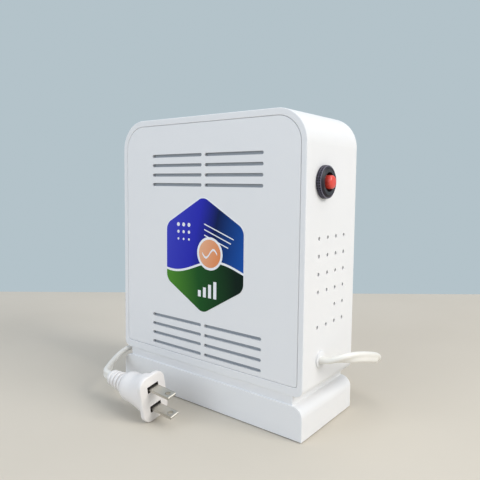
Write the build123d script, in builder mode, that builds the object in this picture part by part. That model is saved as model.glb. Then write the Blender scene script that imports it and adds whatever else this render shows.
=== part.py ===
import os
from math import cos, hypot, pi, radians, sin, tan

from build123d import *

os.makedirs("parts", exist_ok=True)

# Travel voltage converter. X runs to the right of the label side, Y to the back and Z up.
# The origin is on the surface it stands on, under the middle of the housing.

# Overall sizes of the housing and its foot
width = 146.0
depth = 60.0
height = 182.0
base_height = 19.5
neck_height = 5.5
neck_inset = 6.5
neck_setback = 0.8
shoulder_radius = 6.0
foot_lift = 0.6

# Housing shell
side_border = 3.5
top_border = 3.9
floor_border = 5.0
shell_crown_radius = 19.0
shell_heel_radius = 4.5
panel_crown_radius = 15.5
panel_heel_radius = 2.0
edge_break = 0.3
ledge_width = 1.8
ledge_thick = 2.2
overrun = 1.0

# Front panel and rear cover
panel_thick = 2.8
panel_gap = 0.2
groove_depth = 1.8
slot_length = 43.5
slot_height = 2.0
slot_divider = 2.5
slot_shift = 0.7
slot_rows = 4
slot_pitch_share = 0.0392
slot_crown_share = 0.151
slot_heel_share = 0.1758

# Long case screws, their bosses in the shell and posts on the front panel
case_screw_radius = 1.5
case_head_radius = 2.9
case_head_thick = 1.6
boss_radius = 4.2
boss_play = 0.25
post_radius = 3.0
post_length = 10.2
post_play = 0.3
post_skin = 1.2
thread_fit = 0.05
low_boss_inset = 17.5
low_boss_rise = 3.8
high_boss_inset = 7.3
high_boss_drop = 6.9

# Side vents
vent_radius = 1.15
vent_pitch_share = 0.0637
vent_columns = 4
vent_rows = 6
vent_drop_share = 0.451

# Foot: pedestal, its cover plate, rubber feet and screws
pedestal_wall = 3.0
plate_thick = 2.0
plate_gap = 0.2
tower_radius = 3.5
tower_inset_x = 33.0
tower_inset_y = 10.0
plate_screw_radius = 1.2
plate_head_radius = 2.3
plate_head_thick = 1.1
plate_screw_length = 9.0
rubber_radius = 5.0
rubber_thick = 1.2
rubber_inset_x = 13.0
rubber_inset_y = 9.0
neck_screw_radius = 1.5
neck_head_radius = 2.8
neck_head_thick = 2.0
neck_screw_bite = 4.2
neck_screw_inset_x = 13.0
neck_screw_inset_y = 12.0

# Ring transformer, its axis along Y
ring_reach_share = 0.7468
ring_rise_share = 0.3984
ring_height_share = 0.3504
ring_front_room = 9.6
core_hole_share = 0.643
core_corner = 1.0
layer_gap = 0.1
common_build_share = 0.0867
interlayer_build = 0.4
series_build_share = 0.0771
wrap_build = 0.6
pad_thick = 1.0
pad_outer_share = 0.655
pad_inner_play = 1.4
bolt_radius = 3.0
bolt_play = 0.2
bolt_head_radius = 8.0
bolt_head_thick = 1.0
bolt_end = 1.0
nut_half_flats = 5.0
nut_thick = 5.0
dish_thick = 1.2
dish_mouth_play = 1.6
dish_slope = 6.5
dish_depth = 8.6

# Steel bracket that carries the transformer on the shell floor
bracket_thick = 1.6
bracket_gap = 1.2
bracket_half_width = 38.0
bracket_overlap = 25.0
bracket_foot = 26.0
bracket_screw_x = 30.0
bracket_screw_inset = 8.0
bracket_screw_radius = 1.5
bracket_head_radius = 2.8
bracket_head_thick = 2.0
bracket_screw_bite = 4.2

# Thermal fuse on top of the transformer
fuse_radius = 2.0
fuse_length = 12.0
fuse_lead_radius = 0.5
fuse_lead_length = 5.0
fuse_gap = 0.05

# Push-to-reset circuit breaker on the right side
breaker_y = -11.3
breaker_drop_share = 0.2529
thread_radius = 7.0
thread_play = 0.1
collar_nut_radius = 9.3
collar_nut_face_radius = 8.2
collar_nut_thick = 3.3
collar_stand = 3.6
opening_radius = 5.45
opening_depth = 6.6
bushing_flange_radius = 8.6
bushing_flange_thick = 3.5
button_radius = 3.75
button_play = 0.08
button_proud = 5.8
button_push = 1.5
button_pop = 3.0
button_edge = 0.5
stem_collar_radius = 4.7
stem_collar_thick = 2.0
stem_radius = 2.0
stem_length = 6.0
breaker_length = 27.5
breaker_half_width = 8.0
breaker_half_height = 8.6
breaker_corner = 1.5
breaker_back = 3.0
chamber_radius = 5.0
spring_wire = 0.3
spring_play = 0.25
spring_turns = 5
bimetal_thick = 0.5
bimetal_radius = 4.5
terminal_thick = 0.8
terminal_half_width = 2.5
terminal_tab = 6.0
terminal_near = 6.0
terminal_pitch = 9.0
barrel_radius = 1.8
barrel_length = 4.0
terminal_fit = 0.05

# Cord bushing on the right side
cord_exit_y = -11.2
cord_exit_rise = 12.2
cord_radius = 2.4
gland_flange_radius = 5.6
gland_flange_thick = 1.0
gland_neck_radius = 4.4
gland_collar_thick = 3.0
gland_tail_radius = 4.0
gland_tail_length = 5.0
gland_fit = 0.05

# Two-slot outlet on the left side
outlet_drop_share = 0.2675
outlet_half_width = 11.5
outlet_half_height = 10.0
outlet_corner = 3.0
outlet_flange_border = 2.5
outlet_flange_thick = 1.2
outlet_length = 20.0
outlet_fit = 0.1
outlet_slot_half_thick = 0.9
outlet_slot_half_height = 3.6
outlet_face = 2.0
outlet_pocket_half_thick = 2.0
outlet_pocket_half_height = 4.2
outlet_back = 2.5
blade_pitch = 12.7
clip_leaf = 0.5
clip_gap_half = 0.7
clip_half_height = 3.0
clip_back = 1.0
clip_length = 12.0
clip_tail = 6.0
clip_tail_half_thick = 0.5
clip_tail_half_height = 2.0
clip_play = 0.05

# Label
label_radius_share = 0.2344
label_rise_share = 0.4586
label_corner = 7.0
label_thick = 0.25
label_shift = 1.0

# Mains plug, lying on its lower rim beside the front
plug_x = -8.4
plug_y = -62.0
plug_roll = 12.0
plug_dip = 2.7
plug_turn = 1.2
flange_half_width = 9.6
flange_half_height = 14.3
flange_corner = 6.0
flange_thick = 3.0
flange_edge = 0.6
pocket_half_width = 4.15
pocket_half_thick = 2.0
pocket_depth = 2.6
insert_length = 5.0
insert_fit = 0.05
blade_width = 6.35
blade_thick = 1.5
blade_reach = 16.4
blade_root = 9.0
blade_fit = 0.05
blade_bevel = 0.45
blade_hole_radius = 1.5
blade_hole_inset = 3.6
grip_steps = [0.0, 4.0, 9.0, 12.5, 16.5, 20.0, 21.8]
grip_half_heights = [13.4, 13.0, 10.8, 9.5, 9.3, 8.6, 6.6]
grip_half_widths = [8.9, 8.8, 8.5, 8.5, 8.6, 8.0, 6.6]
relief_length = 16.2
relief_core_radius = 4.2
relief_wide_radius = 6.1
relief_thin_radius = 4.9
relief_ribs = 5
rib_share = 0.62
cord_run_length = 6.5

# Inner leads
lead_radius = 1.1
lead_inset = 7.5
lead_gap = 0.05
lead_clear = 6.0
lead_step = 4.0
lead_spread = 1.8
lead_bend_share = 0.45

# Cross recesses in the screw heads, as shares of the head's radius and thickness
recess_reach_share = 0.62
recess_width_share = 0.3
recess_depth_share = 0.6

# Places that follow from the sizes above
half_width = width / 2
half_depth = depth / 2
shell_bottom = base_height + neck_height
shell_height = height - shell_bottom
inner_half_width = half_width - side_border
inner_top = height - top_border
inner_bottom = shell_bottom + floor_border
inner_height = inner_top - inner_bottom
slot_pitch = shell_height * slot_pitch_share
vent_pitch = shell_height * vent_pitch_share
label_radius = shell_height * label_radius_share
panel_back = -half_depth + panel_thick
cover_front = half_depth - panel_thick
boss_front = panel_back + post_length
neck_half_width = half_width - neck_inset
neck_half_depth = half_depth - neck_setback
low_boss = (inner_half_width - low_boss_inset, inner_bottom + low_boss_rise)
high_boss = (inner_half_width - high_boss_inset, inner_top - high_boss_drop)
boss_places = [(side * x, z) for side in (-1, 1) for x, z in (low_boss, high_boss)]


def across(y):
    """Plane that faces the front at depth y, with the object's X and Z as its own axes."""
    return Plane.XZ.offset(-y)


def facing_right(x):
    """Plane that faces the right at x, with the object's Y and Z as its own axes."""
    return Plane.YZ.offset(x)


def save(piece, name):
    """Names a finished piece and writes it."""
    piece.part.label = name
    export_step(piece.part, f"parts/{name}.step")
    print(f"{name}: {len(piece.part.solids())} solids, {piece.part.volume:.0f} mm3")


def arch(inset, bottom, top, crown, heel):
    """Draws an upright outline with large upper corners and small lower ones."""
    with Locations((0, (top + bottom) / 2)):
        Rectangle(2 * (half_width - inset), top - bottom)
    fillet(vertices().group_by(Axis.Y)[-1], crown)
    fillet(vertices().group_by(Axis.Y)[0], heel)


def inner_arch(shrink):
    """Draws the outline of the opening in the shell, drawn in all round by shrink."""
    arch(
        side_border + shrink,
        inner_bottom + shrink,
        inner_top - shrink,
        panel_crown_radius - shrink,
        max(panel_heel_radius - shrink, edge_break),
    )


def slot_field():
    """Draws the two columns of long slots near the top and near the bottom."""
    crown_row = height - shell_height * slot_crown_share
    heel_row = shell_bottom + shell_height * slot_heel_share
    rows = [start - slot_pitch * n for start in (crown_row, heel_row) for n in range(slot_rows)]
    reach = (slot_length + slot_divider) / 2
    with Locations(*[(slot_shift + side * reach, z) for side in (-1, 1) for z in rows]):
        SlotOverall(slot_length, slot_height)


def cross_recess(radius):
    """Draws the cross of a screw head of that radius."""
    reach = 2 * radius * recess_reach_share
    across_arm = radius * recess_width_share
    Rectangle(reach, across_arm)
    Rectangle(across_arm, reach)


# Breaker, gland, outlet and transformer places
breaker_z = height - shell_height * breaker_drop_share
cord_exit_z = shell_bottom + cord_exit_rise + floor_border
outlet_z = height - shell_height * outlet_drop_share
ring_z = inner_bottom + inner_height * ring_rise_share
thread_hole_radius = thread_radius + thread_play
gland_hole_radius = gland_neck_radius + gland_fit
outlet_y = 0.0

# Housing shell: a tube open at the front and back, with bosses for the case screws
with BuildPart() as housing_shell:
    with BuildSketch(across(-half_depth)):
        arch(0, shell_bottom, height, shell_crown_radius, shell_heel_radius)
    extrude(amount=-depth)
    with BuildSketch(across(-half_depth)):
        inner_arch(0)
    extrude(amount=-panel_thick, mode=Mode.SUBTRACT)
    with BuildSketch(across(panel_back)):
        inner_arch(ledge_width)
    extrude(amount=-ledge_thick, mode=Mode.SUBTRACT)
    with BuildSketch(across(panel_back + ledge_thick)):
        inner_arch(0)
    extrude(amount=-depth, mode=Mode.SUBTRACT)
    chamfer(housing_shell.edges().group_by(Axis.Y)[0], edge_break)
    chamfer(housing_shell.edges().group_by(Axis.Y)[-1], edge_break)
    with BuildSketch(across(boss_front)):
        with Locations(*boss_places):
            Circle(boss_radius)
    extrude(amount=boss_front - cover_front)
    with BuildSketch(across(boss_front)):
        with Locations(*boss_places):
            Circle(case_screw_radius + boss_play)
    extrude(amount=-depth, mode=Mode.SUBTRACT)
    # The ledge makes room for the posts of the front panel.
    with BuildSketch(across(panel_back)):
        with Locations(*boss_places):
            Circle(post_radius + post_play)
    extrude(amount=-post_length, mode=Mode.SUBTRACT)
    # Vent holes through both sides. The right side lacks two of them.
    vent_top = height - shell_height * vent_drop_share
    vents = [
        ((column - (vent_columns - 1) / 2) * vent_pitch, vent_top - row * vent_pitch)
        for column in range(vent_columns)
        for row in range(vent_rows)
    ]
    right_vents = [place for n, place in enumerate(vents) if n not in (4, 10)]
    with BuildSketch(facing_right(half_width + overrun)):
        with Locations(*right_vents):
            Circle(vent_radius)
    extrude(amount=-side_border - 2 * overrun, mode=Mode.SUBTRACT)
    with BuildSketch(facing_right(-half_width - overrun)):
        with Locations(*vents):
            Circle(vent_radius)
    extrude(amount=side_border + 2 * overrun, mode=Mode.SUBTRACT)
    # Holes for the breaker's collar and the cord bushing, and the outlet's cut-out
    with BuildSketch(facing_right(half_width + overrun)):
        with Locations((breaker_y, breaker_z)):
            Circle(thread_hole_radius)
        with Locations((cord_exit_y, cord_exit_z)):
            Circle(gland_hole_radius)
    extrude(amount=-side_border - 2 * overrun, mode=Mode.SUBTRACT)
    with BuildSketch(facing_right(-half_width - overrun)):
        with Locations((outlet_y, outlet_z)):
            RectangleRounded(
                2 * (outlet_half_width + outlet_fit),
                2 * (outlet_half_height + outlet_fit),
                outlet_corner + outlet_fit,
            )
    extrude(amount=side_border + 2 * overrun, mode=Mode.SUBTRACT)
    # Pilot holes in the floor, from below for the neck and from above for the bracket
    neck_screw_places = [
        (sx * (half_width - neck_screw_inset_x), sy * (half_depth - neck_screw_inset_y))
        for sx in (-1, 1)
        for sy in (-1, 1)
    ]
    bracket_back = cover_front - bracket_gap
    bracket_front = bracket_back - bracket_thick
    bracket_screw_places = [
        (side * bracket_screw_x, bracket_back - bracket_foot + bracket_screw_inset)
        for side in (-1, 1)
    ]
    with BuildSketch(Plane.XY.offset(shell_bottom)):
        with Locations(*neck_screw_places):
            Circle(neck_screw_radius + thread_fit)
    extrude(amount=neck_screw_bite + thread_fit, mode=Mode.SUBTRACT)
    with BuildSketch(Plane.XY.offset(inner_bottom)):
        with Locations(*bracket_screw_places):
            Circle(bracket_screw_radius + thread_fit)
    extrude(amount=-bracket_screw_bite - thread_fit, mode=Mode.SUBTRACT)
save(housing_shell, "housing_shell")

# Front panel: grooved plate with a post behind each corner
with BuildPart() as front_panel:
    with BuildSketch(across(-half_depth)):
        inner_arch(panel_gap)
    extrude(amount=-panel_thick)
    chamfer(front_panel.edges().group_by(Axis.Y)[0], edge_break)
    with BuildSketch(across(-half_depth)):
        slot_field()
    extrude(amount=-groove_depth, mode=Mode.SUBTRACT)
    with BuildSketch(across(panel_back)):
        with Locations(*boss_places):
            Circle(post_radius)
    extrude(amount=-post_length)
    with BuildSketch(across(-half_depth + post_skin)):
        with Locations(*boss_places):
            Circle(case_screw_radius + thread_fit)
    extrude(amount=-depth, mode=Mode.SUBTRACT)
save(front_panel, "front_panel")

# Rear cover: the same slots cut right through, with countersinks for the case screws
with BuildPart() as rear_cover:
    with BuildSketch(across(cover_front)):
        inner_arch(panel_gap)
    extrude(amount=-panel_thick)
    chamfer(rear_cover.edges().group_by(Axis.Y)[-1], edge_break)
    with BuildSketch(across(cover_front)):
        slot_field()
    extrude(amount=-panel_thick, mode=Mode.SUBTRACT)
    with BuildSketch(across(cover_front)):
        with Locations(*boss_places):
            Circle(case_screw_radius + boss_play)
    extrude(amount=-panel_thick, mode=Mode.SUBTRACT)
    with BuildSketch(across(half_depth - case_head_thick)):
        with Locations(*boss_places):
            Circle(case_head_radius + boss_play)
    extrude(amount=-case_head_thick, mode=Mode.SUBTRACT)
save(rear_cover, "rear_cover")

# Case screws: from the rear cover through the shell's bosses into the panel's posts
with BuildPart() as case_screws:
    with BuildSketch(across(half_depth - case_head_thick)):
        with Locations(*boss_places):
            Circle(case_head_radius)
    extrude(amount=-case_head_thick + edge_break)
    with BuildSketch(across(half_depth - case_head_thick)):
        with Locations(*boss_places):
            Circle(case_screw_radius)
    extrude(amount=depth - case_head_thick - post_skin - edge_break)
    with BuildSketch(across(half_depth - edge_break)):
        with Locations(*boss_places):
            cross_recess(case_head_radius)
    extrude(amount=case_head_thick * recess_depth_share, mode=Mode.SUBTRACT)
save(case_screws, "case_screws")

# Foot pedestal: neck and base in one hollow moulding, open underneath
tower_places = [
    (sx * (half_width - tower_inset_x), sy * (half_depth - tower_inset_y))
    for sx in (-1, 1)
    for sy in (-1, 1)
]
plate_top = foot_lift + plate_thick
with BuildPart() as pedestal:
    with BuildSketch(across(-half_depth)):
        with Locations((0, (foot_lift + base_height) / 2)):
            Rectangle(width, base_height - foot_lift)
        fillet(vertices().group_by(Axis.Y)[-1], shoulder_radius)
    extrude(amount=-depth)
    with BuildSketch(Plane.XY.offset(base_height)):
        Rectangle(2 * neck_half_width, 2 * neck_half_depth)
    extrude(amount=neck_height)
    with BuildSketch(across(-half_depth + pedestal_wall)):
        with Locations((0, (foot_lift + base_height - pedestal_wall) / 2)):
            Rectangle(width - 2 * pedestal_wall, base_height - pedestal_wall - foot_lift)
        fillet(vertices().group_by(Axis.Y)[-1], shoulder_radius - pedestal_wall)
    extrude(amount=-depth + 2 * pedestal_wall, mode=Mode.SUBTRACT)
    with BuildSketch(Plane.XY.offset(foot_lift)):
        Rectangle(2 * (neck_half_width - pedestal_wall), 2 * (neck_half_depth - pedestal_wall))
    extrude(amount=shell_bottom - pedestal_wall - foot_lift, mode=Mode.SUBTRACT)
    with BuildSketch(Plane.XY.offset(plate_top)):
        with Locations(*tower_places):
            Circle(tower_radius)
    extrude(amount=shell_bottom - pedestal_wall - plate_top)
    with BuildSketch(Plane.XY.offset(plate_top)):
        with Locations(*tower_places):
            Circle(plate_screw_radius + thread_fit)
    extrude(amount=plate_screw_length, mode=Mode.SUBTRACT)
    with BuildSketch(Plane.XY.offset(shell_bottom)):
        with Locations(*neck_screw_places):
            Circle(neck_screw_radius + boss_play)
    extrude(amount=-pedestal_wall, mode=Mode.SUBTRACT)
save(pedestal, "pedestal")

# Neck screws: from inside the neck up into the shell's floor
with BuildPart() as neck_screws:
    head_top = shell_bottom - pedestal_wall
    with BuildSketch(Plane.XY.offset(head_top - neck_head_thick)):
        with Locations(*neck_screw_places):
            Circle(neck_head_radius)
    extrude(amount=neck_head_thick)
    with BuildSketch(Plane.XY.offset(head_top)):
        with Locations(*neck_screw_places):
            Circle(neck_screw_radius)
    extrude(amount=pedestal_wall + neck_screw_bite)
    with BuildSketch(Plane.XY.offset(head_top - neck_head_thick)):
        with Locations(*neck_screw_places):
            cross_recess(neck_head_radius)
    extrude(amount=neck_head_thick * recess_depth_share, mode=Mode.SUBTRACT)
save(neck_screws, "neck_screws")

# Cover plate under the pedestal, its screws and the rubber feet
rubber_places = [
    (sx * (half_width - rubber_inset_x), sy * (half_depth - rubber_inset_y))
    for sx in (-1, 1)
    for sy in (-1, 1)
] + [(0, 0)]
with BuildPart() as base_plate:
    with BuildSketch(Plane.XY.offset(foot_lift)):
        Rectangle(
            width - 2 * (pedestal_wall + plate_gap),
            depth - 2 * (pedestal_wall + plate_gap),
        )
    extrude(amount=plate_thick)
    with BuildSketch(Plane.XY.offset(foot_lift)):
        with Locations(*rubber_places):
            Circle(rubber_radius + plate_gap)
    extrude(amount=rubber_thick - foot_lift, mode=Mode.SUBTRACT)
    with BuildSketch(Plane.XY.offset(foot_lift)):
        with Locations(*tower_places):
            Circle(plate_head_radius + plate_gap)
    extrude(amount=plate_head_thick, mode=Mode.SUBTRACT)
    with BuildSketch(Plane.XY.offset(foot_lift)):
        with Locations(*tower_places):
            Circle(plate_screw_radius + plate_gap)
    extrude(amount=plate_thick, mode=Mode.SUBTRACT)
save(base_plate, "base_plate")

with BuildPart() as base_screws:
    with BuildSketch(Plane.XY.offset(foot_lift)):
        with Locations(*tower_places):
            Circle(plate_head_radius)
    extrude(amount=plate_head_thick)
    with BuildSketch(Plane.XY.offset(foot_lift)):
        with Locations(*tower_places):
            Circle(plate_screw_radius)
    extrude(amount=plate_screw_length)
    with BuildSketch(Plane.XY.offset(foot_lift)):
        with Locations(*tower_places):
            cross_recess(plate_head_radius)
    extrude(amount=plate_head_thick * recess_depth_share, mode=Mode.SUBTRACT)
save(base_screws, "base_screws")

with BuildPart() as rubber_feet:
    with BuildSketch(Plane.XY):
        with Locations(*rubber_places):
            Circle(rubber_radius)
    extrude(amount=rubber_thick)
save(rubber_feet, "rubber_feet")

# Ring transformer: each layer wraps the one inside it, and the whole fills its share of the shell
ring_outer_radius = min(inner_half_width * ring_reach_share, inner_height * ring_height_share)
common_build = ring_outer_radius * common_build_share
series_build = ring_outer_radius * series_build_share
common_reach = layer_gap + common_build
interlayer_reach = common_reach + layer_gap + interlayer_build
series_reach = interlayer_reach + layer_gap + series_build
wrap_reach = series_reach + layer_gap + wrap_build
ring_back = bracket_front - pad_thick
ring_front = panel_back + ring_front_room
ring_half_length = (ring_back - ring_front) / 2
ring_y = ring_back - ring_half_length
core_outer_radius = ring_outer_radius - wrap_reach
core_inner_radius = core_outer_radius * core_hole_share
core_half_length = ring_half_length - wrap_reach
ring_hole_radius = core_inner_radius - wrap_reach
pad_outer_radius = ring_outer_radius * pad_outer_share
pad_inner_radius = ring_hole_radius + pad_inner_play
dish_mouth_radius = ring_hole_radius - dish_mouth_play
dish_floor_radius = dish_mouth_radius - dish_slope
ring_axis = Axis((0, ring_y, ring_z), (0, 1, 0))


def ring_section(reach, mode=Mode.ADD):
    """Draws the core's section, grown by reach."""
    with Locations(((core_outer_radius + core_inner_radius) / 2, ring_y)):
        RectangleRounded(
            core_outer_radius - core_inner_radius + 2 * reach,
            2 * (core_half_length + reach),
            core_corner + reach,
            mode=mode,
        )


with BuildPart() as ring_core:
    with BuildSketch(Plane.XY.offset(ring_z)):
        ring_section(0)
    revolve(axis=ring_axis)
save(ring_core, "ring_core")

layers = {
    "common_winding": (common_reach, common_build),
    "interlayer_tape": (interlayer_reach, interlayer_build),
    "series_winding": (series_reach, series_build),
    "outer_wrap": (wrap_reach, wrap_build),
}
for layer_name, (reach, build) in layers.items():
    with BuildPart() as layer:
        with BuildSketch(Plane.XY.offset(ring_z)):
            ring_section(reach)
            ring_section(reach - build, mode=Mode.SUBTRACT)
        revolve(axis=ring_axis)
    save(layer, layer_name)

# Pads on both faces of the ring
pad_starts = {"rear_pad": ring_back, "front_pad": ring_front - pad_thick}
for pad_name, pad_start in pad_starts.items():
    with BuildPart() as pad:
        with BuildSketch(across(pad_start)):
            with Locations((0, ring_z)):
                Circle(pad_outer_radius)
                Circle(pad_inner_radius, mode=Mode.SUBTRACT)
        extrude(amount=-pad_thick)
    save(pad, pad_name)

# Dished washer that draws the ring against the bracket
rim_back = ring_front - pad_thick
rim_front = rim_back - dish_thick
dish_back = rim_back + dish_depth
dish_front = dish_back - dish_thick
bolt_hole_radius = bolt_radius + bolt_play
with BuildPart() as dish_washer:
    with BuildSketch(Plane.XY.offset(ring_z)):
        with BuildLine():
            Polyline(
                (bolt_hole_radius, dish_back),
                (dish_floor_radius, dish_back),
                (dish_mouth_radius, rim_back),
                (pad_outer_radius, rim_back),
                (pad_outer_radius, rim_front),
                (dish_mouth_radius - dish_thick, rim_front),
                (dish_floor_radius - dish_thick, dish_front),
                (bolt_hole_radius, dish_front),
                close=True,
            )
        make_face()
    revolve(axis=ring_axis)
save(dish_washer, "dish_washer")

with BuildPart() as centre_bolt:
    with BuildSketch(across(bracket_back)):
        with Locations((0, ring_z)):
            Circle(bolt_head_radius)
    extrude(amount=-bolt_head_thick)
    with BuildSketch(across(bracket_back)):
        with Locations((0, ring_z)):
            Circle(bolt_radius)
    extrude(amount=bracket_back - dish_front + nut_thick + bolt_end)
save(centre_bolt, "centre_bolt")

with BuildPart() as centre_nut:
    with BuildSketch(across(dish_front)):
        with Locations((0, ring_z)):
            RegularPolygon(nut_half_flats, 6, major_radius=False)
            Circle(bolt_radius + thread_fit, mode=Mode.SUBTRACT)
    extrude(amount=nut_thick)
save(centre_nut, "centre_nut")

# Bracket: upright plate behind the ring and a foot on the shell floor
with BuildPart() as mount_bracket:
    with BuildSketch(across(bracket_front)):
        with Locations((0, (inner_bottom + ring_z + bracket_overlap) / 2)):
            Rectangle(2 * bracket_half_width, ring_z + bracket_overlap - inner_bottom)
        with Locations((0, ring_z)):
            Circle(bolt_hole_radius, mode=Mode.SUBTRACT)
    extrude(amount=-bracket_thick)
    with BuildSketch(Plane.XY.offset(inner_bottom)):
        with Locations((0, bracket_back - bracket_foot / 2)):
            Rectangle(2 * bracket_half_width, bracket_foot)
        with Locations(*bracket_screw_places):
            Circle(bracket_screw_radius + boss_play, mode=Mode.SUBTRACT)
    extrude(amount=bracket_thick)
save(mount_bracket, "mount_bracket")

with BuildPart() as bracket_screws:
    with BuildSketch(Plane.XY.offset(inner_bottom + bracket_thick)):
        with Locations(*bracket_screw_places):
            Circle(bracket_head_radius)
    extrude(amount=bracket_head_thick)
    with BuildSketch(Plane.XY.offset(inner_bottom + bracket_thick)):
        with Locations(*bracket_screw_places):
            Circle(bracket_screw_radius)
    extrude(amount=-bracket_thick - bracket_screw_bite)
    with BuildSketch(Plane.XY.offset(inner_bottom + bracket_thick + bracket_head_thick)):
        with Locations(*bracket_screw_places):
            cross_recess(bracket_head_radius)
    extrude(amount=-bracket_head_thick * recess_depth_share, mode=Mode.SUBTRACT)
save(bracket_screws, "bracket_screws")

# Thermal fuse lying on the wrap, with a thin lead at each end
fuse_z = ring_z + ring_outer_radius + fuse_radius + fuse_gap
with BuildPart() as thermal_fuse:
    with BuildSketch(facing_right(-fuse_length / 2)):
        with Locations((ring_y, fuse_z)):
            Circle(fuse_radius)
    extrude(amount=fuse_length)
    with BuildSketch(facing_right(-fuse_length / 2 - fuse_lead_length)):
        with Locations((ring_y, fuse_z)):
            Circle(fuse_lead_radius)
    extrude(amount=fuse_length + 2 * fuse_lead_length)
save(thermal_fuse, "thermal_fuse")

# Breaker: case behind the right wall, threaded bushing through it and knurled nut outside
wall_inner = inner_half_width
case_front = wall_inner - bushing_flange_thick
case_back = case_front - breaker_length + bushing_flange_thick
breaker_axis = Axis((0, breaker_y, breaker_z), (1, 0, 0))
collar_end = half_width + collar_stand
opening_floor = collar_end - opening_depth
guide_radius = button_radius + button_play
button_front = half_width + button_proud
stem_collar_front = case_front - button_pop - layer_gap
stem_collar_back = stem_collar_front - stem_collar_thick
chamber_back = case_back + breaker_back
with BuildPart() as breaker_case:
    with BuildSketch(facing_right(case_back)):
        with Locations((breaker_y, breaker_z)):
            RectangleRounded(2 * breaker_half_width, 2 * breaker_half_height, breaker_corner)
    extrude(amount=case_front - case_back)
    with BuildSketch(facing_right(chamber_back)):
        with Locations((breaker_y, breaker_z)):
            Circle(chamber_radius)
    extrude(amount=case_front - chamber_back, mode=Mode.SUBTRACT)
    terminal_xs = [case_back + terminal_near, case_back + terminal_near + terminal_pitch]
    with BuildSketch(Plane.XY.offset(breaker_z)):
        with Locations(*[(x, breaker_y) for x in terminal_xs]):
            Rectangle(
                terminal_thick + 2 * terminal_fit,
                2 * (terminal_half_width + terminal_fit),
            )
    extrude(amount=-breaker_half_height, mode=Mode.SUBTRACT)
save(breaker_case, "breaker_case")

with BuildPart() as breaker_bushing:
    with BuildSketch(facing_right(case_front)):
        with Locations((breaker_y, breaker_z)):
            Circle(bushing_flange_radius)
    extrude(amount=bushing_flange_thick)
    with BuildSketch(facing_right(wall_inner)):
        with Locations((breaker_y, breaker_z)):
            Circle(thread_radius)
    extrude(amount=collar_end - wall_inner)
    with BuildSketch(facing_right(opening_floor)):
        with Locations((breaker_y, breaker_z)):
            Circle(opening_radius)
    extrude(amount=opening_depth, mode=Mode.SUBTRACT)
    with BuildSketch(facing_right(case_front)):
        with Locations((breaker_y, breaker_z)):
            Circle(guide_radius)
    extrude(amount=collar_end - case_front, mode=Mode.SUBTRACT)
save(breaker_bushing, "breaker_bushing")

with BuildPart() as breaker_nut:
    with BuildSketch(facing_right(half_width)):
        with Locations((breaker_y, breaker_z)):
            Circle(collar_nut_radius)
    extrude(amount=collar_nut_thick)
    chamfer(
        breaker_nut.edges().group_by(Axis.X)[-1],
        collar_nut_radius - collar_nut_face_radius,
    )
    with BuildSketch(facing_right(half_width)):
        with Locations((breaker_y, breaker_z)):
            Circle(thread_radius + thread_fit)
    extrude(amount=collar_nut_thick, mode=Mode.SUBTRACT)
save(breaker_nut, "breaker_nut")

# Reset button with its collar and the stem that guides the spring
with BuildPart() as reset_button:
    with BuildSketch(facing_right(stem_collar_front)):
        with Locations((breaker_y, breaker_z)):
            Circle(button_radius)
    extrude(amount=button_front - stem_collar_front)
    fillet(reset_button.edges().group_by(Axis.X)[-1], button_edge)
    with BuildSketch(facing_right(stem_collar_back)):
        with Locations((breaker_y, breaker_z)):
            Circle(stem_collar_radius)
    extrude(amount=stem_collar_thick)
    with BuildSketch(facing_right(stem_collar_back - stem_length)):
        with Locations((breaker_y, breaker_z)):
            Circle(stem_radius)
    extrude(amount=stem_length)
save(reset_button, "reset_button")

# Reset spring between the chamber's end and the button's collar
spring_radius = stem_radius + spring_play + spring_wire
spring_start = chamber_back + bimetal_thick + spring_wire + layer_gap
spring_end = stem_collar_back - spring_wire - layer_gap
spring_length = spring_end - spring_start
with BuildPart() as reset_spring:
    with BuildLine() as coil:
        Helix(
            spring_length / spring_turns,
            spring_length,
            spring_radius,
            center=(spring_start, breaker_y, breaker_z),
            direction=(1, 0, 0),
        )
    with BuildSketch(Plane(origin=coil.line @ 0, z_dir=coil.line % 0)):
        Circle(spring_wire)
    sweep(path=coil.line)
save(reset_spring, "reset_spring")

# Terminals under the case: one tab has its crimp barrel below it and the other at its side
terminal_top = breaker_z - chamber_radius
tab_bottom = breaker_z - breaker_half_height - terminal_tab
barrel_bottom = tab_bottom - barrel_length
flag_start = terminal_xs[0] - terminal_thick / 2 - barrel_length
flag_z = tab_bottom + barrel_radius
with BuildPart() as breaker_terminals:
    with BuildSketch(Plane.XY.offset(tab_bottom)):
        with Locations(*[(x, breaker_y) for x in terminal_xs]):
            Rectangle(terminal_thick, 2 * terminal_half_width)
    extrude(amount=terminal_top - tab_bottom)
    with BuildSketch(Plane.XY.offset(barrel_bottom)):
        with Locations((terminal_xs[1], breaker_y)):
            Circle(barrel_radius)
    extrude(amount=barrel_length)
    with BuildSketch(facing_right(flag_start)):
        with Locations((breaker_y, flag_z)):
            Circle(barrel_radius)
    extrude(amount=barrel_length)
save(breaker_terminals, "breaker_terminals")

# Bimetal disc at the back of the chamber
with BuildPart() as bimetal_disc:
    with BuildSketch(facing_right(chamber_back)):
        with Locations((breaker_y, breaker_z)):
            Circle(bimetal_radius)
    extrude(amount=bimetal_thick)
save(bimetal_disc, "bimetal_disc")

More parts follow.
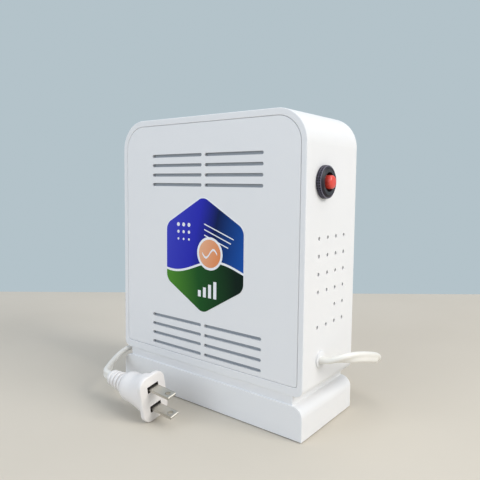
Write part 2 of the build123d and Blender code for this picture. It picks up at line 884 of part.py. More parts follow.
# Cord bushing: flange outside, neck in the wall, collar and tail inside
gland_face = half_width + gland_flange_thick
gland_steps = [
    (gland_face, half_width, gland_flange_radius),
    (half_width, wall_inner, gland_neck_radius),
    (wall_inner, wall_inner - gland_collar_thick, gland_flange_radius),
    (
        wall_inner - gland_collar_thick,
        wall_inner - gland_collar_thick - gland_tail_length,
        gland_tail_radius,
    ),
]
with BuildPart() as cord_bushing:
    for outer_x, inner_x, radius in gland_steps:
        with BuildSketch(facing_right(outer_x)):
            with Locations((cord_exit_y, cord_exit_z)):
                Circle(radius)
        extrude(amount=inner_x - outer_x)
save(cord_bushing, "cord_bushing")
gland_tail = gland_steps[-1][1]

# Outlet: flanged body in the left wall with a pocket for each contact clip
outlet_front = -half_width - outlet_flange_thick
outlet_rear = -half_width + outlet_length
pocket_front = -half_width + outlet_face
pocket_rear = outlet_rear - outlet_back
clip_places = [(outlet_y + side * blade_pitch / 2, outlet_z) for side in (-1, 1)]
with BuildPart() as outlet_body:
    with BuildSketch(facing_right(-half_width)):
        with Locations((outlet_y, outlet_z)):
            RectangleRounded(2 * outlet_half_width, 2 * outlet_half_height, outlet_corner)
    extrude(amount=outlet_length)
    with BuildSketch(facing_right(outlet_front)):
        with Locations((outlet_y, outlet_z)):
            RectangleRounded(
                2 * (outlet_half_width + outlet_flange_border),
                2 * (outlet_half_height + outlet_flange_border),
                outlet_corner + outlet_flange_border,
            )
    extrude(amount=outlet_flange_thick)
    chamfer(outlet_body.edges().group_by(Axis.X)[0], edge_break)
    with BuildSketch(facing_right(outlet_front)):
        with Locations(*clip_places):
            Rectangle(2 * outlet_slot_half_thick, 2 * outlet_slot_half_height)
    extrude(amount=pocket_front - outlet_front, mode=Mode.SUBTRACT)
    with BuildSketch(facing_right(pocket_front)):
        with Locations(*clip_places):
            Rectangle(2 * outlet_pocket_half_thick, 2 * outlet_pocket_half_height)
    extrude(amount=pocket_rear - pocket_front, mode=Mode.SUBTRACT)
    with BuildSketch(facing_right(pocket_rear)):
        with Locations(*clip_places):
            Rectangle(
                2 * (clip_tail_half_thick + clip_play),
                2 * (clip_tail_half_height + clip_play),
            )
    extrude(amount=outlet_back, mode=Mode.SUBTRACT)
save(outlet_body, "outlet_body")

# Contact clips: two leaves each, joined at the back, with a tail through the body
clip_back_front = pocket_rear - clip_back
clip_front = pocket_rear - clip_length
with BuildPart() as outlet_contacts:
    with BuildSketch(facing_right(clip_front)):
        with Locations(*clip_places):
            Rectangle(2 * (clip_gap_half + clip_leaf), 2 * clip_half_height)
            Rectangle(2 * clip_gap_half, 2 * clip_half_height, mode=Mode.SUBTRACT)
    extrude(amount=clip_length)
    with BuildSketch(facing_right(clip_back_front)):
        with Locations(*clip_places):
            Rectangle(2 * (clip_gap_half + clip_leaf), 2 * clip_half_height)
    extrude(amount=clip_back)
    with BuildSketch(facing_right(pocket_rear)):
        with Locations(*clip_places):
            Rectangle(2 * clip_tail_half_thick, 2 * clip_tail_half_height)
    extrude(amount=outlet_back + clip_tail)
save(outlet_contacts, "outlet_contacts")
clip_end = outlet_rear + clip_tail

# Inner leads. Each runs from one piece's end face to another's.
lead_wall = inner_half_width - lead_inset
wrap_touch = ring_outer_radius + lead_gap
wrap_clear = ring_outer_radius + lead_clear


def on_wrap(degrees, radius, y):
    """Point at that radius about the transformer's axis, turned from +X towards +Z."""
    return (radius * cos(radians(degrees)), y, ring_z + radius * sin(radians(degrees)))


def corner_radii(points, share):
    """Radius of each corner: the share of its shorter run over the tangent of half the turn."""
    vectors = [Vector(*point) for point in points]
    runs = [b - a for a, b in zip(vectors, vectors[1:])]
    return [
        share * min(a.length, b.length) / tan(radians(a.get_angle(b) / 2))
        for a, b in zip(runs, runs[1:])
    ]


fuse_end = fuse_length / 2 + fuse_lead_length
lead_routes = {
    "line_lead": [
        (gland_tail, cord_exit_y - lead_spread, cord_exit_z),
        (gland_tail - 1.5 * lead_step, cord_exit_y - lead_spread, cord_exit_z),
        (gland_tail - lead_step, cord_exit_y - lead_spread, cord_exit_z + 3 * lead_step),
        (lead_wall, breaker_y, ring_z - 2 * lead_step),
        (lead_wall - lead_spread, breaker_y, barrel_bottom - 4 * lead_step),
        (terminal_xs[1], breaker_y, barrel_bottom - 2 * lead_step),
        (terminal_xs[1], breaker_y, barrel_bottom),
    ],
    "fuse_lead": [
        (flag_start, breaker_y, flag_z),
        (flag_start - 1.5 * lead_step, breaker_y, flag_z),
        on_wrap(58, wrap_clear + lead_spread, breaker_y + lead_step),
        (fuse_end + 2 * lead_step, ring_y, fuse_z),
        (fuse_end, ring_y, fuse_z),
    ],
    "winding_lead": [
        (-fuse_end, ring_y, fuse_z),
        (-fuse_end - 1.5 * lead_step, ring_y, fuse_z),
        on_wrap(120, wrap_clear, ring_y),
        on_wrap(120, wrap_touch, ring_y),
    ],
    "neutral_lead": [
        (gland_tail, cord_exit_y + lead_spread, cord_exit_z),
        (gland_tail - 2 * lead_step, cord_exit_y + lead_spread, cord_exit_z),
        on_wrap(-38, wrap_clear, ring_y - lead_step),
        on_wrap(-38, wrap_touch, ring_y - lead_step),
    ],
    "output_lead": [
        (clip_end, clip_places[0][0], outlet_z),
        (clip_end + lead_step, clip_places[0][0], outlet_z),
        on_wrap(132, wrap_clear, ring_y - lead_step),
        on_wrap(132, wrap_touch, ring_y - lead_step),
    ],
    "output_neutral_lead": [
        (clip_end, clip_places[1][0], outlet_z),
        (clip_end + 1.5 * lead_step, clip_places[1][0], outlet_z),
        on_wrap(142, wrap_clear + lead_step, ring_y + lead_step),
        on_wrap(158, wrap_clear + lead_spread, ring_y + lead_step),
        on_wrap(175, wrap_clear + lead_spread, ring_y + lead_step),
        on_wrap(188, wrap_clear + lead_spread, ring_y + lead_step),
        on_wrap(195, wrap_clear, ring_y + lead_step),
        on_wrap(195, wrap_touch, ring_y + lead_step),
    ],
}
for lead_name, route in lead_routes.items():
    with BuildPart() as lead:
        with BuildLine() as lead_line:
            FilletPolyline(*route, radius=corner_radii(route, lead_bend_share))
        with BuildSketch(Plane(origin=lead_line.line @ 0, z_dir=lead_line.line % 0)):
            Circle(lead_radius)
        sweep(path=lead_line.line)
    print(lead_name, "radii", [round(r, 1) for r in corner_radii(route, lead_bend_share)])
    save(lead, lead_name)

# Label: thin six-sided sheet with rounded corners on the front panel
with BuildPart() as label:
    with BuildSketch(across(-half_depth)):
        with Locations((label_shift, shell_bottom + shell_height * label_rise_share)):
            RegularPolygon(label_radius, 6, rotation=90)
        fillet(vertices(), label_corner)
    extrude(amount=label_thick)
save(label, "label")

# Plug: its own plane has X across the blades' width, Y from blade to blade and Z out of the face
dip = radians(plug_dip)
turn = radians(plug_turn)
plug_forward = Vector(cos(dip) * cos(turn), -cos(dip) * sin(turn), -sin(dip))
plug_across = Vector(0, cos(radians(plug_roll)), sin(radians(plug_roll)))
plug_across = (plug_across - plug_forward * plug_across.dot(plug_forward)).normalized()
rim_up = plug_forward.cross(plug_across)
rim_drop = (
    abs(plug_across.Z) * (flange_half_width - flange_corner)
    + abs(rim_up.Z) * (flange_half_height - flange_corner)
    + hypot(plug_across.Z, rim_up.Z) * flange_corner
)
plug_face = Plane(
    origin=(plug_x, plug_y, rim_drop), x_dir=plug_across, z_dir=plug_forward
)
blade_places = [(0, side * blade_pitch / 2) for side in (-1, 1)]
grip_start = plug_face.offset(-flange_thick)
relief_start = grip_start.offset(-grip_steps[-1])
rib_pitch = relief_length / relief_ribs
with BuildPart() as plug_body:
    with BuildSketch(plug_face):
        RectangleRounded(2 * flange_half_width, 2 * flange_half_height, flange_corner)
    extrude(amount=-flange_thick)
    chamfer(plug_body.faces().sort_by(Axis(plug_face.origin, plug_forward))[-1].edges(), flange_edge)
    for step, half_tall, half_wide in zip(grip_steps, grip_half_heights, grip_half_widths):
        with BuildSketch(grip_start.offset(-step)):
            Ellipse(half_wide, half_tall)
    loft()
    with BuildSketch(relief_start):
        Circle(relief_core_radius)
    extrude(amount=-relief_length)
    for rib in range(relief_ribs):
        rib_share_along = rib / (relief_ribs - 1)
        rib_radius = relief_wide_radius + (relief_thin_radius - relief_wide_radius) * rib_share_along
        with BuildSketch(relief_start.offset(-rib * rib_pitch - rib_pitch * (1 - rib_share))):
            Circle(rib_radius)
        extrude(amount=-rib_pitch * rib_share)
    with BuildSketch(plug_face):
        with Locations(*blade_places):
            Rectangle(2 * pocket_half_width, 2 * pocket_half_thick)
    extrude(amount=-pocket_depth, mode=Mode.SUBTRACT)
    with BuildSketch(plug_face):
        with Locations(*blade_places):
            Rectangle(blade_width + 2 * blade_fit, blade_thick + 2 * blade_fit)
    extrude(amount=-blade_root - blade_fit, mode=Mode.SUBTRACT)
    insert_half_height = blade_pitch / 2 + pocket_half_thick
    with BuildSketch(plug_face.offset(-pocket_depth)):
        Rectangle(2 * (pocket_half_width + insert_fit), 2 * (insert_half_height + insert_fit))
    extrude(amount=-insert_length - insert_fit, mode=Mode.SUBTRACT)
save(plug_body, "plug_body")

# Dark insert inside the moulding: it holds both blades and shows at the bottom of the pockets
with BuildPart() as plug_insert:
    with BuildSketch(plug_face.offset(-pocket_depth)):
        Rectangle(2 * pocket_half_width, 2 * insert_half_height)
        with Locations(*blade_places):
            Rectangle(
                blade_width + 2 * blade_fit, blade_thick + 2 * blade_fit, mode=Mode.SUBTRACT
            )
    extrude(amount=-insert_length)
save(plug_insert, "plug_insert")

with BuildPart() as plug_blades:
    with BuildSketch(plug_face.offset(-blade_root)):
        with Locations(*blade_places):
            Rectangle(blade_width, blade_thick)
    extrude(amount=blade_root + blade_reach)
    tips = plug_blades.faces().sort_by(Axis(plug_face.origin, plug_forward))[-2:]
    chamfer(tips.edges(), blade_bevel)
    hole_plane = Plane(
        origin=(plug_face.offset(blade_reach - blade_hole_inset)).origin,
        x_dir=plug_across,
        z_dir=rim_up,
    )
    with BuildSketch(hole_plane.offset(-blade_pitch)):
        Circle(blade_hole_radius)
    extrude(amount=2 * blade_pitch, mode=Mode.SUBTRACT)
save(plug_blades, "plug_blades")

# Cord: out of the bushing, round behind the housing, along the left groove and to the plug
relief_end = relief_start.offset(-relief_length)
cord_start = (gland_face, cord_exit_y, cord_exit_z)
cord_end = tuple(relief_end.origin)
cord_run_in = tuple(relief_end.offset(-cord_run_length).origin)
cord_route = [
    cord_start,
    (78.5, cord_exit_y, cord_exit_z),
    (86, -9, 45),
    (90.4, -1.8, 44.8),
    (92.6, 8, 42.8),
    (92.6, 20, 39.2),
    (89.3, 32.5, 34.4),
    (81, 44, 28.6),
    (66, 51.5, 23.4),
    (50, 55, 18),
    (33, 57.5, 10.5),
    (14, 58.5, 4.6),
    (-8, 58, 2.9),
    (-28, 55.5, 5.2),
    (-46, 50, 11.8),
    (-59.5, 43, 18.6),
    (-69, 34, 22),
    (-71.4, 21, 22.3),
    (-69.8, 6, 22.3),
    (-70.3, -10, 22.3),
    (-70.4, -20, 22.2),
    (-73.2, -27.5, 22.1),
    (-74.2, -34.5, 19.6),
    (-73, -42, 17),
    (-67.6, -48.6, 16.1),
    (-61.6, -55.5, 16.2),
    cord_run_in,
    cord_end,
]
cord_radii = corner_radii(cord_route, lead_bend_share)
with BuildPart() as cord:
    with BuildLine() as cord_line:
        FilletPolyline(*cord_route, radius=cord_radii)
    with BuildSketch(Plane(origin=cord_line.line @ 0, z_dir=cord_line.line % 0)):
        Circle(cord_radius)
    sweep(path=cord_line.line)
cord_length = sum(edge.length for edge in cord_line.edges())
cord_volume = cord_length * pi * cord_radius**2
print("cord radii", [round(r, 1) for r in cord_radii])
print(f"cord length {cord_length:.1f} mm")
print(f"cord volume over section times length {cord.part.volume / cord_volume:.4f}")
save(cord, "cord")
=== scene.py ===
# %% [markdown]
# # A travel voltage converter, dressed in Blender
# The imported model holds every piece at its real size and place. This script adds the finish: procedural
# plastics, metals and print, the flat lead at its real length, the moulded plug, the knurled nut, the lights
# and the camera. Lengths are in metres, because Blender's unit here is the metre.

import bpy
import bmesh
from math import cos, pi, radians, sin, sqrt, tan
from mathutils import Matrix, Vector


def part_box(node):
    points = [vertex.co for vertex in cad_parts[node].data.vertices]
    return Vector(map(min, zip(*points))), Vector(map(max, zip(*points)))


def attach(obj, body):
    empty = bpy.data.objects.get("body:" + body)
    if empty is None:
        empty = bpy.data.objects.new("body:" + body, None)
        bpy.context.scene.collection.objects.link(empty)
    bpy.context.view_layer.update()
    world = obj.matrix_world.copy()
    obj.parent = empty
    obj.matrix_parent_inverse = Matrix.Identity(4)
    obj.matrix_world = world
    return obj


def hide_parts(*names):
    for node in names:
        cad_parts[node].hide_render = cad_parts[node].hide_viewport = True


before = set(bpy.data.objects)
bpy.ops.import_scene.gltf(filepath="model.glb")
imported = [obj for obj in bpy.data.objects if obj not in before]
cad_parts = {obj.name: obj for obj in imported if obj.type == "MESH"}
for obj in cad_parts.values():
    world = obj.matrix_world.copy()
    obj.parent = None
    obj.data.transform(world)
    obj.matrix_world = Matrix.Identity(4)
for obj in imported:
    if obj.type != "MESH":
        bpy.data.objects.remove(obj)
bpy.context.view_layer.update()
MM = 0.001

# %% [markdown]
# ## Camera
# The view is from close by, a little above the middle of the object and from its right front corner. The
# place, the turn and the focal length were solved from the straight edges of the housing, so the camera is
# written as those numbers. A track constraint could aim it, but it would lose the small roll. So the
# camera's axes are built by hand and put into a matrix.

# %% Directions of the camera
camera_place = Vector((205.84, -259.39, 140.98)) * MM
camera_yaw = radians(37.881)
camera_pitch = radians(4.522)
camera_roll = radians(0.560)
forward = Vector((
    -sin(camera_yaw) * cos(camera_pitch),
    cos(camera_yaw) * cos(camera_pitch),
    -sin(camera_pitch),
))
level_right = Vector((cos(camera_yaw), sin(camera_yaw), 0))
level_up = level_right.cross(forward)
view_right = level_right * cos(camera_roll) + level_up * sin(camera_roll)
view_up = level_up * cos(camera_roll) - level_right * sin(camera_roll)
print("camera looks along", [round(n, 3) for n in forward])

# %% Add an object, and turn it to three directions
def new_object(name, data):
    """Adds an object that carries the data to the scene."""
    made = bpy.data.objects.new(name, data)
    bpy.context.scene.collection.objects.link(made)
    return made


def turned_to(x_way, y_way, z_way, place):
    """Matrix that turns an object's own axes to three directions and puts its origin at a place."""
    matrix = Matrix((x_way, y_way, z_way)).transposed().to_4x4()
    matrix.translation = place
    return matrix


print("object helpers ready")

# %% Make the camera
focal_share = 502.01 / 480
camera_data = bpy.data.cameras.new("photo_camera")
camera_data.sensor_width = 36.0
camera_data.lens = camera_data.sensor_width * focal_share
camera_data.shift_x = 0.00585
camera_data.shift_y = -0.0350
camera_data.clip_start = 10 * MM
camera = new_object("photo_camera", camera_data)
camera.matrix_world = turned_to(view_right, view_up, -forward, camera_place)
bpy.context.scene.camera = camera
print("focal length", round(camera_data.lens, 2))

# %% [markdown]
# ## Working by hand
# Bmesh could build the shapes with no selection, but operators follow the steps of work by hand. They act on
# whatever is selected, so each step starts by deselecting everything. A finished piece has its place in its
# mesh and its object at the origin, like the frame's own nodes, so that patterns stay still in the export.

# %% Pick a piece and open it in edit mode
def clear_selection():
    if bpy.context.object and bpy.context.object.mode != "OBJECT":
        bpy.ops.object.mode_set(mode="OBJECT")
    bpy.ops.object.select_all(action="DESELECT")


def pick(piece):
    clear_selection()
    piece.select_set(True)
    bpy.context.view_layer.objects.active = piece


def open_edit(piece, kind=None):
    """Opens a piece in edit mode with all selected, or with nothing, to select by that kind."""
    pick(piece)
    bpy.ops.object.mode_set(mode="EDIT")
    if kind:
        bpy.ops.mesh.select_mode(type=kind)
    bpy.ops.mesh.select_all(action="DESELECT" if kind else "SELECT")


def close_edit():
    bpy.ops.object.mode_set(mode="OBJECT")


print("edit helpers ready")

# %% Clean and smooth a mesh
merge_distance = 1e-7


def recalculate(piece):
    """Merges doubles and turns all faces outwards."""
    open_edit(piece)
    bpy.ops.mesh.remove_doubles(threshold=merge_distance)
    bpy.ops.mesh.normals_make_consistent(inside=False)
    close_edit()


def smooth(piece, angle):
    """Shades a piece smooth across every edge that is flatter than the angle in degrees."""
    pick(piece)
    bpy.ops.object.shade_smooth_by_angle(angle=radians(angle))


print("doubles merge within", merge_distance * 1000, "mm")

# %% [markdown]
# ## The flat lead
# The lead is a flat twin cord, 6.2 mm wide and 3.3 mm thick. It leaves the bushing on the right side, bends
# round behind the housing, lies in the groove of the neck on the left and comes to the plug in front. A curve
# with a round bevel can't be flat, so the lead is a mesh tube: a section drawn round each point that the
# route's own smooth curve gives, turned as the cord twists on its way.

# %% Where the plug lies, because the lead ends in it
plug_yaw = radians(1.2)
plug_pitch = radians(2.7)
plug_roll = radians(12)
plug_length = 41.0
straight_run = 6.5
plug_forward = Vector((
    cos(plug_pitch) * cos(plug_yaw),
    -cos(plug_pitch) * sin(plug_yaw),
    -sin(plug_pitch),
))
plug_across = Vector((0, cos(plug_roll), sin(plug_roll)))
plug_across = (plug_across - plug_forward * plug_across.dot(plug_forward)).normalized()
plug_up = plug_forward.cross(plug_across)
plug_face = Vector((-8.4, -62.0, 14.9)) * MM
relief_end = plug_face - plug_forward * plug_length * MM
run_in = relief_end - plug_forward * straight_run * MM
print("lead meets the plug at", [round(n, 4) for n in relief_end])

# %% The route of the lead
route = [
    (0.074, -0.0112, 0.0422),
    (0.0785, -0.0112, 0.0422),
    (0.086, -0.009, 0.045),
    (0.0904, -0.0018, 0.0448),
    (0.0926, 0.008, 0.0428),
    (0.0926, 0.020, 0.0392),
    (0.0893, 0.0325, 0.0344),
    (0.081, 0.044, 0.0286),
    (0.066, 0.0515, 0.0234),
    (0.050, 0.055, 0.018),
    (0.033, 0.0575, 0.0105),
    (0.014, 0.0585, 0.0036),
    (-0.008, 0.058, 0.0019),
    (-0.028, 0.0555, 0.0042),
    (-0.046, 0.050, 0.0118),
    (-0.0595, 0.043, 0.0186),
    (-0.069, 0.034, 0.022),
    (-0.0714, 0.021, 0.0223),
    (-0.0698, 0.006, 0.0223),
    (-0.0703, -0.010, 0.0223),
    (-0.0704, -0.020, 0.0222),
    (-0.0732, -0.0275, 0.0221),
    (-0.0740, -0.0345, 0.0196),
    (-0.0718, -0.0418, 0.0172),
    (-0.0662, -0.0488, 0.0164),
    (-0.0612, -0.0556, 0.0164),
    tuple(run_in),
    tuple(relief_end),
]
route_curve = bpy.data.curves.new("lead_route", "CURVE")
route_curve.dimensions = "3D"
route_curve.resolution_u = 10
spline = route_curve.splines.new("NURBS")
spline.points.add(len(route) - 1)
for point, place in zip(spline.points, route):
    point.co = (*place, 1)
spline.order_u = 3
spline.use_endpoint_u = True
print("route points", len(spline.points))

# %% Points along the smooth curve
route_object = new_object("lead_route", route_curve)
bpy.context.view_layer.update()
route_mesh = bpy.data.meshes.new_from_object(route_object)
lead_points = [vertex.co.copy() for vertex in route_mesh.vertices]
bpy.data.objects.remove(route_object)
lead_length = sum((b - a).length for a, b in zip(lead_points, lead_points[1:]))
print(f"lead: {len(lead_points)} points, {lead_length * 1000:.0f} mm long")

# %% Twist of the lead: distance along it in metres, and degrees from upright
twist_stops = [
    (0.0, 90), (0.003, 85), (0.022, 5), (0.026, 0), (0.044, 0), (0.066, 90),
    (0.286, 90), (0.303, 125), (0.312, 132), (0.325, 180), (0.350, 180),
]


def lead_twist(distance):
    """Angle of the wide way at that distance, eased from one stop to the next."""
    for (near, start), (far, end) in zip(twist_stops, twist_stops[1:]):
        if distance <= far:
            share = (distance - near) / (far - near)
            return start + (end - start) * share * share * (3 - 2 * share)
    return twist_stops[-1][1]


print("degrees of twist halfway", lead_twist(lead_length / 2))

# %% Section of the lead
lead_width = 6.2 * MM
lead_thick = 3.3 * MM
web_dip_share = 0.10
lead_sides = 32


def lead_section():
    """Points of the flat twin section: two round conductors joined by a shallow web."""
    half = lead_width / 2
    radius = lead_thick / 2
    lobe = half - radius
    dip = radius * web_dip_share
    points = []
    for n in range(lead_sides):
        angle = 2 * pi * n / lead_sides
        wide = half * cos(angle)
        if abs(wide) > lobe:
            tall = sqrt(max(radius**2 - (abs(wide) - lobe) ** 2, 0))
        else:
            tall = radius - dip * (1 - (wide / lobe) ** 2) ** 2
        points.append((wide, tall if sin(angle) >= 0 else -tall))
    return points


print("section points", len(lead_section()))

# %% Rings and faces of a tube
def lead_rings(points):
    """The section's points round each point of the route, turned as the cord twists."""
    section = lead_section()
    vertices, travelled = [], 0.0
    for n, point in enumerate(points):
        ahead = points[min(n + 1, len(points) - 1)]
        behind = points[max(n - 1, 0)]
        along = (ahead - behind).normalized()
        level = along.cross(Vector((0, 0, 1))).normalized()
        upright = level.cross(along).normalized()
        angle = radians(lead_twist(travelled))
        wide_way = upright * cos(angle) + level * sin(angle)
        thick_way = along.cross(wide_way)
        vertices += [point + wide_way * w + thick_way * t for w, t in section]
        travelled += (ahead - point).length
    return vertices


def tube_faces(rings, sides):
    """Faces between the rings of a tube, and one at each end."""
    faces = []
    for ring in range(rings - 1):
        start = ring * sides
        for side in range(sides):
            beside = (side + 1) % sides
            faces.append((start + side, start + beside, start + sides + beside, start + sides + side))
    faces.append(tuple(range(sides - 1, -1, -1)))
    faces.append(tuple(range((rings - 1) * sides, rings * sides)))
    return faces


print("faces of the tube", len(tube_faces(len(lead_points), lead_sides)))

# %% Draw the lead
lead_vertices = [tuple(vertex) for vertex in lead_rings(lead_points)]
lead_mesh = bpy.data.meshes.new("flat_lead")
lead_mesh.from_pydata(lead_vertices, [], tube_faces(len(lead_points), lead_sides))
lead_mesh.update()
lead = new_object("flat_lead", lead_mesh)
recalculate(lead)
smooth(lead, angle=60)
print("lead box", [round(n, 4) for n in lead.dimensions])

# %% [markdown]
# ## Shared effects
# Three node groups serve the finishes. The moulded grain gives a fine bump and a faint change of roughness.
# The edge group finds sharp corners by comparing the true normal with a rounded one. The lighter colour
# that it gives them is partly wear and partly a painted highlight, where a rounded edge catches the light.
# The handling marks break up a surface over centimetres. Each could be drawn again in every material, but a
# group is built once, and each material only gives it values.

# %% Node helpers
# A mix node for colours has its two colours at inputs 6 and 7, and its result at output 2
first_colour = 6
second_colour = 7
mixed_colour = 2


def group_with(name, inputs, outputs):
    """A new node group, with its input and output nodes."""
    group = bpy.data.node_groups.new(name, "ShaderNodeTree")
    for socket, kind, value in inputs:
        made = group.interface.new_socket(socket, in_out="INPUT", socket_type="NodeSocket" + kind)
        made.default_value = value
    for socket, kind in outputs:
        group.interface.new_socket(socket, in_out="OUTPUT", socket_type="NodeSocket" + kind)
    return group, group.nodes.new("NodeGroupInput"), group.nodes.new("NodeGroupOutput")


def add(tree, kind, **settings):
    """Adds a shader node. A setting goes to the input of that name, or else to the node itself."""
    node = tree.nodes.new("ShaderNode" + kind)
    for name, value in settings.items():
        if name in node.inputs:
            node.inputs[name].default_value = value
        else:
            setattr(node, name, value)
    return node


def map_range(tree, low, high, **settings):
    """Adds a node that maps the values from low to high."""
    node = add(tree, "MapRange", **settings)
    node.inputs["From Min"].default_value = low
    node.inputs["From Max"].default_value = high
    return node


def connect(tree, links):
    for source, target in links:
        tree.links.new(source, target)


print("node helpers ready")

# %% Moulded grain
grain_group, enter, leave = group_with(
    "moulded_grain",
    [
        ("Scale", "Float", 1500.0),
        ("Depth", "Float", 0.2),
        ("Roughness", "Float", 0.4),
        ("Spread", "Float", 0.08),
    ],
    [("Normal", "Vector"), ("Roughness", "Float")],
)
place = add(grain_group, "TexCoord")
fine = add(grain_group, "TexNoise", Detail=3.0, Roughness=0.6)
broad = add(grain_group, "TexNoise", Scale=60.0, Detail=4.0)
bump = add(grain_group, "Bump", Distance=0.12 * MM)
spread = map_range(grain_group, 0.3, 0.7)
low = add(grain_group, "Math", operation="SUBTRACT")
high = add(grain_group, "Math", operation="ADD")
connect(grain_group, [
    (place.outputs["Object"], fine.inputs["Vector"]),
    (place.outputs["Object"], broad.inputs["Vector"]),
    (enter.outputs["Scale"], fine.inputs["Scale"]),
    (fine.outputs["Fac"], bump.inputs["Height"]),
    (enter.outputs["Depth"], bump.inputs["Strength"]),
    (enter.outputs["Roughness"], low.inputs[0]),
    (enter.outputs["Spread"], low.inputs[1]),
    (enter.outputs["Roughness"], high.inputs[0]),
    (enter.outputs["Spread"], high.inputs[1]),
    (broad.outputs["Fac"], spread.inputs["Value"]),
    (low.outputs[0], spread.inputs["To Min"]),
    (high.outputs[0], spread.inputs["To Max"]),
    (bump.outputs["Normal"], leave.inputs["Normal"]),
    (spread.outputs["Result"], leave.inputs["Roughness"]),
])
print("grain nodes", len(grain_group.nodes))

# %% Lighter edge: wear and painted highlight
# Mask of sharp edges for the edge colour: partly wear, partly painted highlight
edge_group, enter, leave = group_with(
    "worn_edge",
    [("Radius", "Float", 0.6 * MM), ("Strength", "Float", 1.0)],
    [("Mask", "Float")],
)
rounded = add(edge_group, "Bevel", samples=4)
facing = add(edge_group, "NewGeometry")
match = add(edge_group, "VectorMath", operation="DOT_PRODUCT")
turned = map_range(edge_group, 0.995, 0.80)
scaled = add(edge_group, "Math", operation="MULTIPLY", use_clamp=True)
connect(edge_group, [
    (enter.outputs["Radius"], rounded.inputs["Radius"]),
    (rounded.outputs["Normal"], match.inputs[0]),
    (facing.outputs["Normal"], match.inputs[1]),
    (match.outputs["Value"], turned.inputs["Value"]),
    (turned.outputs["Result"], scaled.inputs[0]),
    (enter.outputs["Strength"], scaled.inputs[1]),
    (scaled.outputs[0], leave.inputs["Mask"]),
])
print("edge nodes", len(edge_group.nodes))

# %% Handling marks
marks_group, enter, leave = group_with(
    "handling_marks",
    [
        ("Colour", "Color", (0.8, 0.8, 0.8, 1)),
        ("Tint", "Color", (0.7, 0.7, 0.7, 1)),
        ("Amount", "Float", 0.15),
    ],
    [("Colour", "Color")],
)
place = add(marks_group, "TexCoord")
cloud = add(marks_group, "TexNoise", Scale=22.0, Detail=6.0, Roughness=0.6)
shaped = map_range(marks_group, 0.42, 0.72)
amount = add(marks_group, "Math", operation="MULTIPLY")
mixed = add(marks_group, "Mix", data_type="RGBA")
connect(marks_group, [
    (place.outputs["Object"], cloud.inputs["Vector"]),
    (cloud.outputs["Fac"], shaped.inputs["Value"]),
    (shaped.outputs["Result"], amount.inputs[0]),
    (enter.outputs["Amount"], amount.inputs[1]),
    (amount.outputs[0], mixed.inputs["Factor"]),
    (enter.outputs["Colour"], mixed.inputs[first_colour]),
    (enter.outputs["Tint"], mixed.inputs[second_colour]),
    (mixed.outputs[mixed_colour], leave.inputs["Colour"]),
])
print("groups:", [group.name for group in bpy.data.node_groups])

# %% [markdown]
# ## Finishes
# The case is a matt white moulding, and most of what is inside is plastic, copper or plated steel. Pictures
# of such surfaces could be laid on, but each piece would need them unwrapped, and they blur close up. So a
# finish is a recipe: a base colour with faint marks, lighter edges that are partly wear and partly a painted
# highlight, and a fine grain. A bare metal is the same recipe with metallic on. What is the same all over a
# surface sits on the shader's own sockets.

# %% A new material, and a group placed in it
def new_material(name, specular):
    """A node material, with its tree and its shader."""
    material = bpy.data.materials.new(name)
    material.use_nodes = True
    shader = material.node_tree.nodes["Principled BSDF"]
    shader.inputs["Specular IOR Level"].default_value = specular
    return material, material.node_tree, shader


def place_group(tree, group, **values):
    """Puts a node group into a material with its own values."""
    return add(tree, "Group", node_tree=group, **values)


def add_grain(tree, shader, **values):
    """Puts the moulded grain on a shader's roughness and normal."""
    grained = place_group(tree, grain_group, **values)
    tree.links.new(grained.outputs["Roughness"], shader.inputs["Roughness"])
    tree.links.new(grained.outputs["Normal"], shader.inputs["Normal"])


print("material helpers ready")

# %% The recipe of a finish
coat_roughness = 0.12
tint_share = 0.82
# Edges are made lighter by these numbers: partly wear, partly a painted highlight where a rounded edge
# catches the light
edge_gain = 1.25
edge_lift = 0.03
edge_limit = 0.95


def finish(name, colour, roughness=0.4, metallic=0.0, grain=1500.0, depth=0.2, spread=0.06, tint=None,
           marks=0.15, edge=0.25, edge_radius=0.5 * MM, edge_colour=None, coat=0.0, specular=0.5):
    """Makes a plastic or metal with grain, marks and lighter edges, partly wear and partly painted highlight.
    """
    material, tree, shader = new_material(name, specular)
    shader.inputs["Metallic"].default_value = metallic
    shader.inputs["Coat Weight"].default_value = coat
    shader.inputs["Coat Roughness"].default_value = coat_roughness
    add_grain(tree, shader, Scale=grain, Depth=depth, Roughness=roughness, Spread=spread)
    tint = tint or [c * tint_share for c in colour]
    marked = place_group(tree, marks_group, Colour=(*colour, 1), Tint=(*tint, 1), Amount=marks)
    # Mask of the edge colour, partly wear and partly painted highlight
    worn = place_group(tree, edge_group, Radius=edge_radius, Strength=edge)
    lighter = edge_colour or [min(c * edge_gain + edge_lift, edge_limit) for c in colour]
    mixed = add(tree, "Mix", data_type="RGBA")
    mixed.inputs[second_colour].default_value = (*lighter, 1)
    connect(tree, [
        (worn.outputs["Mask"], mixed.inputs["Factor"]),
        (marked.outputs["Colour"], mixed.inputs[first_colour]),
        (mixed.outputs[mixed_colour], shader.inputs["Base Color"]),
    ])
    return material


print("a worn edge is", edge_gain, "times as light")

# %% White mouldings
moulded_white = {
    "colour": (0.80, 0.80, 0.80), "roughness": 0.42, "grain": 1700, "depth": 0.18,
    "marks": 0.10, "tint": (0.74, 0.74, 0.73),
}
white = finish("white_moulding", **moulded_white)
# Foot and shell get wider, stronger lighter edges: a painted highlight along the foot's top edge and the
# shell's front frame
foot_white = finish("foot_moulding", **moulded_white, edge=0.75, edge_radius=1.3 * MM)
shell_white = finish("shell_moulding", **moulded_white, edge=0.55, edge_radius=0.9 * MM)
grooved_white = finish("grooved_moulding", **moulded_white)
print("white finishes:", len(bpy.data.materials))

